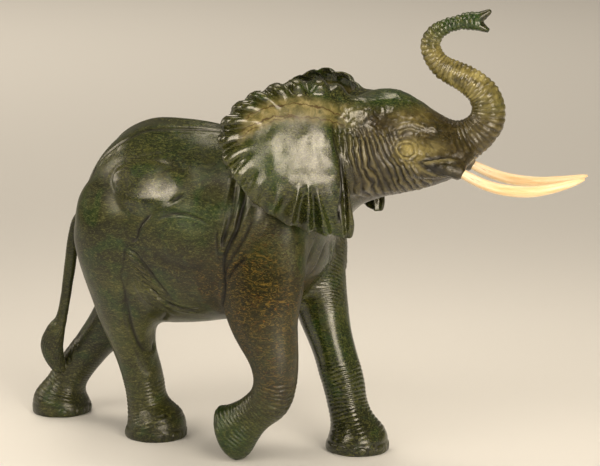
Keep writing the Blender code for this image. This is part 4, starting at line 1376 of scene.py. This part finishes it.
STONE_RAMPS = [
    ("olive", "clouds", (0.30, "#12160A"), (0.46, "#23250F"), (0.60, "#33351A"), (0.78, "#47482A")),
    ("brown stone", "earth", (0.33, "#0E0A04"), (0.50, "#281E0D"), (0.70, "#584D33")),
    ("straw stone", "straw beds", (0.30, "#443B20"), (0.50, "#84774F"), (0.72, "#BDAF84")),
    ("tan stone", "tan beds", (0.32, "#40402A"), (0.50, "#6C6444"), (0.70, "#93866A")),
]
# Thin brown veins are arcs on the ear: how far back, how high, and the radius of the circle.
VEINS = {"vein 1": (36, 262, 86), "vein 2": (44, 268, 69), "vein 3": (30, 240, 96)}
STONE_COATS = [
    # mark, pattern, where the pattern begins and is full, strength, colour or ramp
    (None, "green veil", 0.50, 0.68, 0.6, "#1C3812"),
    ("green", None, 0, 1, 0.8, "#1F3F17"),
    (None, "blue veil", 0.55, 0.70, 0.35, "#2A4034"),
    (None, "mottle", 0.51, 0.66, 0.54, "#6A6A42"),
    (None, "mottle", 0.49, 0.34, 0.80, "#070803"),
    (None, "grain", 0.54, 0.68, 0.35, "#7A7750"),
    (None, "grain", 0.46, 0.34, 0.45, "#080A04"),
    ("brown", None, 0, 1, 0.85, "brown stone"),
    ("ochre", None, 0, 1, 0.75, "#171106"),
    ("ochre", "flecks", 0.51, 0.61, 0.75, "#705B2C"),
    ("ochre", "rust", 0.58, 0.69, 0.55, "#84521E"),
    ("straw", None, 0, 1, 1.0, "straw stone"),
    ("tan", None, 0, 1, 1.0, "tan stone"),
    *(("tan", vein, 0.9, 0.25, 0.75, "#3A210C") for vein in VEINS),
    # Painted shade in the grooves; ridge tops paler from rubbed wear and painted highlight.
    ("groove_shade", None, 0, 1, 0.9, "#080703"),
    ("crest", None, 0, 1, 0.34, "#A59A7A"),
]
print("smallest pattern:", min(min(row[1]) for row in STONE_PATTERNS), "mm")

# %% The stone's colour
stone, tree, shader = new_material("polished_serpentine", IOR=1.56)
made = {name: add_node(tree, "ShaderNodeAttribute", attribute_name=name).outputs["Fac"]
        for name in MARKS}
ear_places = add_node(tree, "ShaderNodeAttribute", attribute_name="ear_place").outputs["Vector"]
waver = add_node(tree, "ShaderNodeTexNoise",
                 {"Vector": ear_places, "Scale": 0.09, "Detail": 3, "Roughness": 0.6})
wavering = add_node(tree, "ShaderNodeVectorMath",
                    {0: waver.outputs["Color"], 1: (9, 9, 0), 2: ear_places},
                    operation="MULTIPLY_ADD")
for name, (back, up, radius) in VEINS.items():
    # The noise adds 4.5 on average, and the distance is measured in the ear's plane.
    apart = add_node(tree, "ShaderNodeVectorMath", {0: wavering, 1: (back + 4.5, up + 4.5, 0)},
                     operation="SUBTRACT")
    flat = add_node(tree, "ShaderNodeVectorMath", {0: apart, 1: (1, 1, 0)}, operation="MULTIPLY")
    away = add_node(tree, "ShaderNodeVectorMath", {0: flat}, operation="LENGTH").outputs["Value"]
    past = add_node(tree, "ShaderNodeMath", {0: away, 1: radius}, operation="SUBTRACT")
    made[name] = add_node(tree, "ShaderNodeMath", {0: past}, operation="ABSOLUTE")
where = add_node(tree, "ShaderNodeTexCoord").outputs["Object"]
colour = lay_colours(tree, made, where, 1000, STONE_PATTERNS, STONE_RAMPS, STONE_COATS)
# Wax and polish deepen every colour, as water on a stone does.
deepened = add_node(tree, "ShaderNodeMix", {0: 1, 6: colour, 7: (0.95, 0.97, 0.70, 1)},
                    data_type="RGBA", blend_type="MULTIPLY")
tree.links.new(deepened.outputs[2], shader.inputs["Base Color"])
print("nodes so far:", len(tree.nodes))

# %% The stone's polish and grit
rough = add_node(tree, "ShaderNodeMapRange", {
    "Value": made["polish"], "From Min": 0.3, "From Max": 0.7, "To Min": 0.17, "To Max": 0.30})
# The grooves, the brown stone and the satin places are less polished.
for mark, more in (("groove_shade", 0.12), ("ochre", 0.20), ("satin", 0.34)):
    rough = add_node(tree, "ShaderNodeMath", {0: made[mark], 1: more, 2: rough},
                     operation="MULTIPLY_ADD")
shine = add_node(tree, "ShaderNodeMath", {0: made["satin"], 1: -0.38, 2: 0.5},
                 operation="MULTIPLY_ADD")
# Fine grit lies everywhere, and scratches on the head, which was never ground smooth.
grit = add_node(tree, "ShaderNodeBump",
                {"Height": made["grit"], "Strength": 0.22, "Distance": 0.0004})
scratched = add_node(tree, "ShaderNodeMath", {0: made["brown"], 1: 0.3}, operation="MULTIPLY")
scratches = add_node(tree, "ShaderNodeBump", {
    "Height": made["scratches"], "Normal": grit, "Strength": scratched, "Distance": 0.0005})
for source, name in ((rough, "Roughness"), (shine, "Specular IOR Level"), (scratches, "Normal")):
    tree.links.new(source.outputs[0], shader.inputs[name])
block.data.materials.clear()
block.data.materials.append(stone)
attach(block, "root")
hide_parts("elephant")
print("the stone has", len(tree.nodes), "nodes")

# %% [markdown]
# ## The tusks
#
# The tusks are slender rods of bone, or of a bone-like resin, turned and scraped along their
# length. Each follows a bent line and thins towards its tip, so a node tree that sweeps a circle
# along the line is the simplest way to make it. The tree also raises faint ridges that fade out
# at the tip, and stores where each point lies round and along the tusk, for the grain to follow.

# %% A node tree that sweeps a tusk
def tusk_tree():
    """Geometry Nodes that sweep a circle along a line, ridged and thinning with its thickness."""
    tree = bpy.data.node_groups.new("tusk_sweep", "GeometryNodeTree")
    for name, kind, value in (
            ("Geometry", "Geometry", None), ("Sides", "Int", 48), ("Ridges", "Int", 11),
            ("Ridge height", "Float", 0.0001), ("Material", "Material", None)):
        socket = tree.interface.new_socket(name, in_out="INPUT", socket_type="NodeSocket" + kind)
        if value:
            socket.default_value = value
    tree.interface.new_socket("Geometry", in_out="OUTPUT", socket_type="NodeSocketGeometry")
    given = add_node(tree, "NodeGroupInput").outputs
    curve = add_node(tree, "GeometryNodeMeshToCurve", {"Mesh": given["Geometry"]})
    radius = add_node(tree, "GeometryNodeInputNamedAttribute", {"Name": "thickness"},
                      data_type="FLOAT")
    sized = add_node(tree, "GeometryNodeSetCurveRadius", {"Curve": curve, "Radius": radius})
    circle = add_node(tree, "GeometryNodeCurvePrimitiveCircle",
                      {"Resolution": given["Sides"], "Radius": 1.0})
    kept = []
    for source, name in ((sized, "Along"), (circle, "Around")):
        share = add_node(tree, "GeometryNodeSplineParameter")
        kept.append(add_node(tree, "GeometryNodeCaptureAttribute", {"Geometry": source}))
        kept[-1].capture_items.new("FLOAT", name)
        tree.links.new(share.outputs["Factor"], kept[-1].inputs[name])
    along, around = kept[0].outputs["Along"], kept[1].outputs["Around"]
    swept = add_node(tree, "GeometryNodeCurveToMesh",
                     {"Curve": kept[0], "Profile Curve": kept[1], "Fill Caps": True})
    if "Scale" in swept.inputs:
        tree.links.new(radius.outputs["Attribute"], swept.inputs["Scale"])
    turn = add_node(tree, "ShaderNodeMath", {0: around, 1: 2 * math.pi}, operation="MULTIPLY")
    turns = add_node(tree, "ShaderNodeMath", {0: turn, 1: given["Ridges"]}, operation="MULTIPLY")
    wave = add_node(tree, "ShaderNodeMath", {0: turns}, operation="SINE")
    grown = add_node(tree, "ShaderNodeMath", {0: wave, 1: given["Ridge height"]},
                     operation="MULTIPLY")
    less = add_node(tree, "ShaderNodeMath", {0: 1.0, 1: along}, operation="SUBTRACT")
    faded = add_node(tree, "ShaderNodeMath", {0: grown, 1: less}, operation="MULTIPLY")
    normal = add_node(tree, "GeometryNodeInputNormal")
    offset = add_node(tree, "ShaderNodeVectorMath", {0: normal, "Scale": faded}, operation="SCALE")
    moved = add_node(tree, "GeometryNodeSetPosition", {"Geometry": swept, "Offset": offset})
    cosine, sine = (add_node(tree, "ShaderNodeMath", {0: turn}, operation=name)
                    for name in ("COSINE", "SINE"))
    grain = add_node(tree, "ShaderNodeCombineXYZ", {"X": cosine, "Y": sine, "Z": along})
    stored = moved
    for name, kind, value in (("along", "FLOAT", along), ("grain", "FLOAT_VECTOR", grain)):
        stored = add_node(tree, "GeometryNodeStoreNamedAttribute",
                          {"Geometry": stored, "Name": name, "Value": value},
                          data_type=kind, domain="POINT")
    smooth = add_node(tree, "GeometryNodeSetShadeSmooth", {"Geometry": stored})
    real = add_node(tree, "GeometryNodeRealizeInstances", {"Geometry": smooth})
    painted = add_node(tree, "GeometryNodeSetMaterial",
                       {"Geometry": real, "Material": given["Material"]})
    add_node(tree, "NodeGroupOutput", {"Geometry": painted})
    return tree


sweep = tusk_tree()
print("the sweep has", len(sweep.nodes), "nodes")

# %% [markdown]
# ## The tusks' bone
#
# Scraped bone is cream, a little waxy and only half polished, so light enters it slightly and
# reflections are soft. Brown streaks follow its length and gather near the root, where stain
# and wax have settled. The grain's coordinates run round a circle of radius 1 and from 0 to 1
# along the tusk, so blobs are given in those: on the real tusk they are streaks 1 to 3 mm wide.

# %% The bone, from the same kind of tables
BONE_PATTERNS = [
    ("shades", (1 / 1.6, 1 / 1.6, 1 / 3), 5, 0.62, 0.5, (0, 0, 0)),
    ("streaks", (1 / 2.6, 1 / 2.6, 1 / 7), 5, 0.62, 0.5, (4, 2, 1)),
    ("fibres", (1 / 7, 1 / 7, 1 / 5), 5, 0.62, 0.5, (1, 7, 3)),
]
BONE_RAMPS = [("cream", "shades", (0.30, "#E2BC86"), (0.50, "#F2D8AE"), (0.70, "#FAECD2"))]
BONE_COATS = [
    ("near root", "streaks", 0.56, 0.72, 0.85, "#A8672A"),
    (None, "fibres", 0.60, 0.72, 0.3, "#B98A4A"),
]
bone, tree, shader = new_material("carved_bone", Roughness=0.34, Subsurface_Weight=0.12,
                                  Subsurface_Radius=(0.004, 0.002, 0.001), Subsurface_Scale=1.0)
grain = add_node(tree, "ShaderNodeAttribute", attribute_name="grain").outputs["Vector"]
along = add_node(tree, "ShaderNodeAttribute", attribute_name="along").outputs["Fac"]
near_root = add_node(tree, "ShaderNodeMapRange",
                     {"Value": along, "From Min": 0.75, "From Max": 0.12},
                     interpolation_type="SMOOTHSTEP")
colour = lay_colours(tree, {"near root": near_root}, grain, 1,
                     BONE_PATTERNS, BONE_RAMPS, BONE_COATS)
tree.links.new(colour, shader.inputs["Base Color"])
print("the bone has", len(tree.nodes), "nodes")

# %% Sweeping both tusks
for side, node in ((-1, "tusk_right"), (1, "tusk_left")):
    rows = tusk_line(side)
    mesh = bpy.data.meshes.new(node + "_line")
    mesh.from_pydata([tuple(row[:3] * UNIT + SHIFT) for row in rows],
                     [(i, i + 1) for i in range(len(rows) - 1)], [])
    thickness = mesh.attributes.new("thickness", "FLOAT", "POINT")
    thickness.data.foreach_set("value", (rows[:, 3] * UNIT).astype(np.float32))
    line = placed(node + "_carving", mesh)
    modifier = line.modifiers.new("Sweep", "NODES")
    modifier.node_group = sweep
    for item in sweep.interface.items_tree:
        if item.item_type == "SOCKET" and item.in_out == "INPUT" and item.name == "Material":
            modifier[item.identifier] = bone
    tusk = settled(line)
    print(node, len(tusk.data.polygons), "faces", [round(v, 4) for v in tusk.dimensions])
    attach(tusk, "root")
    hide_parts(node)

# %% [markdown]
# ## Stage, lights and camera
#
# The figure stands on matt pale paper that runs back out of sight, as on a studio's roll. What
# shows a dark polished stone is less the light on it than what it mirrors, so each bright patch
# in the photograph is one softbox, placed where a mirror held to that spot would see it. Lamps
# that only fill the shadows or light the paper are kept out of the reflections.

# %% Floor and world
FLOOR_REACH = 30
floor_mesh = bpy.data.meshes.new("floor")
corners = [(a * FLOOR_REACH, b * FLOOR_REACH, 0) for a, b in ((-1, -1), (1, -1), (1, 1), (-1, 1))]
floor_mesh.from_pydata(corners, [], [(0, 1, 2, 3)])
floor = placed("floor", floor_mesh)
# Matt paper: no gloss, so no reflection of the figure.
paper, tree, shader = new_material("pale_paper", Base_Color=linear("#DFDFDF"), Roughness=0.95,
                                   Specular_IOR_Level=0.1)
floor.data.materials.append(paper)

WARM_WHITE = "#FFF1DB"
world = bpy.data.worlds.new("studio")
world.use_nodes = True
world.node_tree.nodes["Background"].inputs["Color"].default_value = linear(WARM_WHITE)
world.node_tree.nodes["Background"].inputs["Strength"].default_value = 0.18
bpy.context.scene.world = world
bpy.context.scene.view_settings.view_transform = "Standard"
print("floor and world made")


# %% Lamps
def aimed(name, lamp, azimuth, elevation, distance, aim=(0, 0, 0.2), colour=WARM_WHITE):
    """A lamp that faces a point from a direction given in degrees."""
    aim = Vector(aim)
    a, e = math.radians(azimuth), math.radians(elevation)
    lamp.color = linear(colour)[:3]
    level = math.cos(e)
    towards = Vector((math.cos(a) * level, math.sin(a) * level, math.sin(e)))
    made = placed(name, lamp)
    made.location = aim + distance * towards
    made.rotation_euler = towards.to_track_quat("Z", "Y").to_euler()
    return made


def softbox(name, azimuth, elevation, distance, size, power,
            aim=(0, 0, 0.2), spread=70, colour="#FFEFD6"):
    """A lamp with a rounded front, whose grid keeps its light within a spread given in degrees."""
    lamp = bpy.data.lights.new(name, "AREA")
    lamp.spread = math.radians(spread)
    lamp.shape = "ELLIPSE"
    lamp.size, lamp.size_y = size
    lamp.energy = power
    return aimed(name, lamp, azimuth, elevation, distance, aim, colour)


# Softboxes whose mirror images lie on the ear, on the crown, on the hip and along the rump. The
# left and the rear one only make reflections, as a patch of their light would show on the floor.
softbox("right_softbox", -40, 6, 2.3, (0.98, 1.3), 6.6)
softbox("high_softbox", 110, 72, 2.0, (1.1, 1.0), 2.4)
softbox("left_softbox", -119, 33, 2.4, (0.56, 1.45), 5.2).visible_diffuse = False
softbox("rear_softbox", -172, 22, 2.6, (0.8, 1.3), 2.6).visible_diffuse = False
# Broad even lights from three sides keep the shadows pale.
for name, azimuth, energy in (("even_left", 175, 0.43), ("even_right", -10, 0.27),
                              ("even_front", -60, 0.22)):
    even = bpy.data.lights.new(name, "SUN")
    even.energy = energy
    even.angle = math.radians(45)
    aimed(name, even, azimuth, 45, 3.0).visible_glossy = False
# Two lamps beside the camera light the near floor, and two overhead the floor behind.
for name, azimuth, elevation, distance, wide, power, aim in (
        ("near_left", -110, 45, 1.8, 1.2, 12, (-0.2, -0.1, 0)),
        ("near_right", -30, 45, 1.8, 1.2, 11, (0.1, -0.1, 0)),
        ("floor_behind", 125, 88, 4.0, 3.0, 72, (-3.2, 2.2, 0)),
        ("floor_far", 125, 88, 5.0, 4.0, 105, (-5.2, 5.0, 0))):
    lamp = softbox(name, azimuth, elevation, distance, (wide, wide), power, aim, 180, WARM_WHITE)
    lamp.visible_glossy = False
print(len(bpy.data.lights), "lamps")

# %% Camera
# The photograph looks 25 degrees ahead of the figure's right side and 10 degrees down.
VIEW_TURN, VIEW_RISE, VIEW_DISTANCE = math.radians(25), math.radians(10), 2.0
LOOKED_AT = (0, 0.076, 0.20)
camera_data = bpy.data.cameras.new("camera")
camera_data.sensor_width = 36
camera_data.lens = 120
camera = placed("camera", camera_data)
target = Vector(LOOKED_AT) + Vector(SHIFT)
level = math.cos(VIEW_RISE)
towards = Vector((math.sin(VIEW_TURN) * level, -math.cos(VIEW_TURN) * level, math.sin(VIEW_RISE)))
camera.location = target + VIEW_DISTANCE * towards
camera.rotation_euler = towards.to_track_quat("Z", "Y").to_euler()
bpy.context.scene.camera = camera
clock("ready")
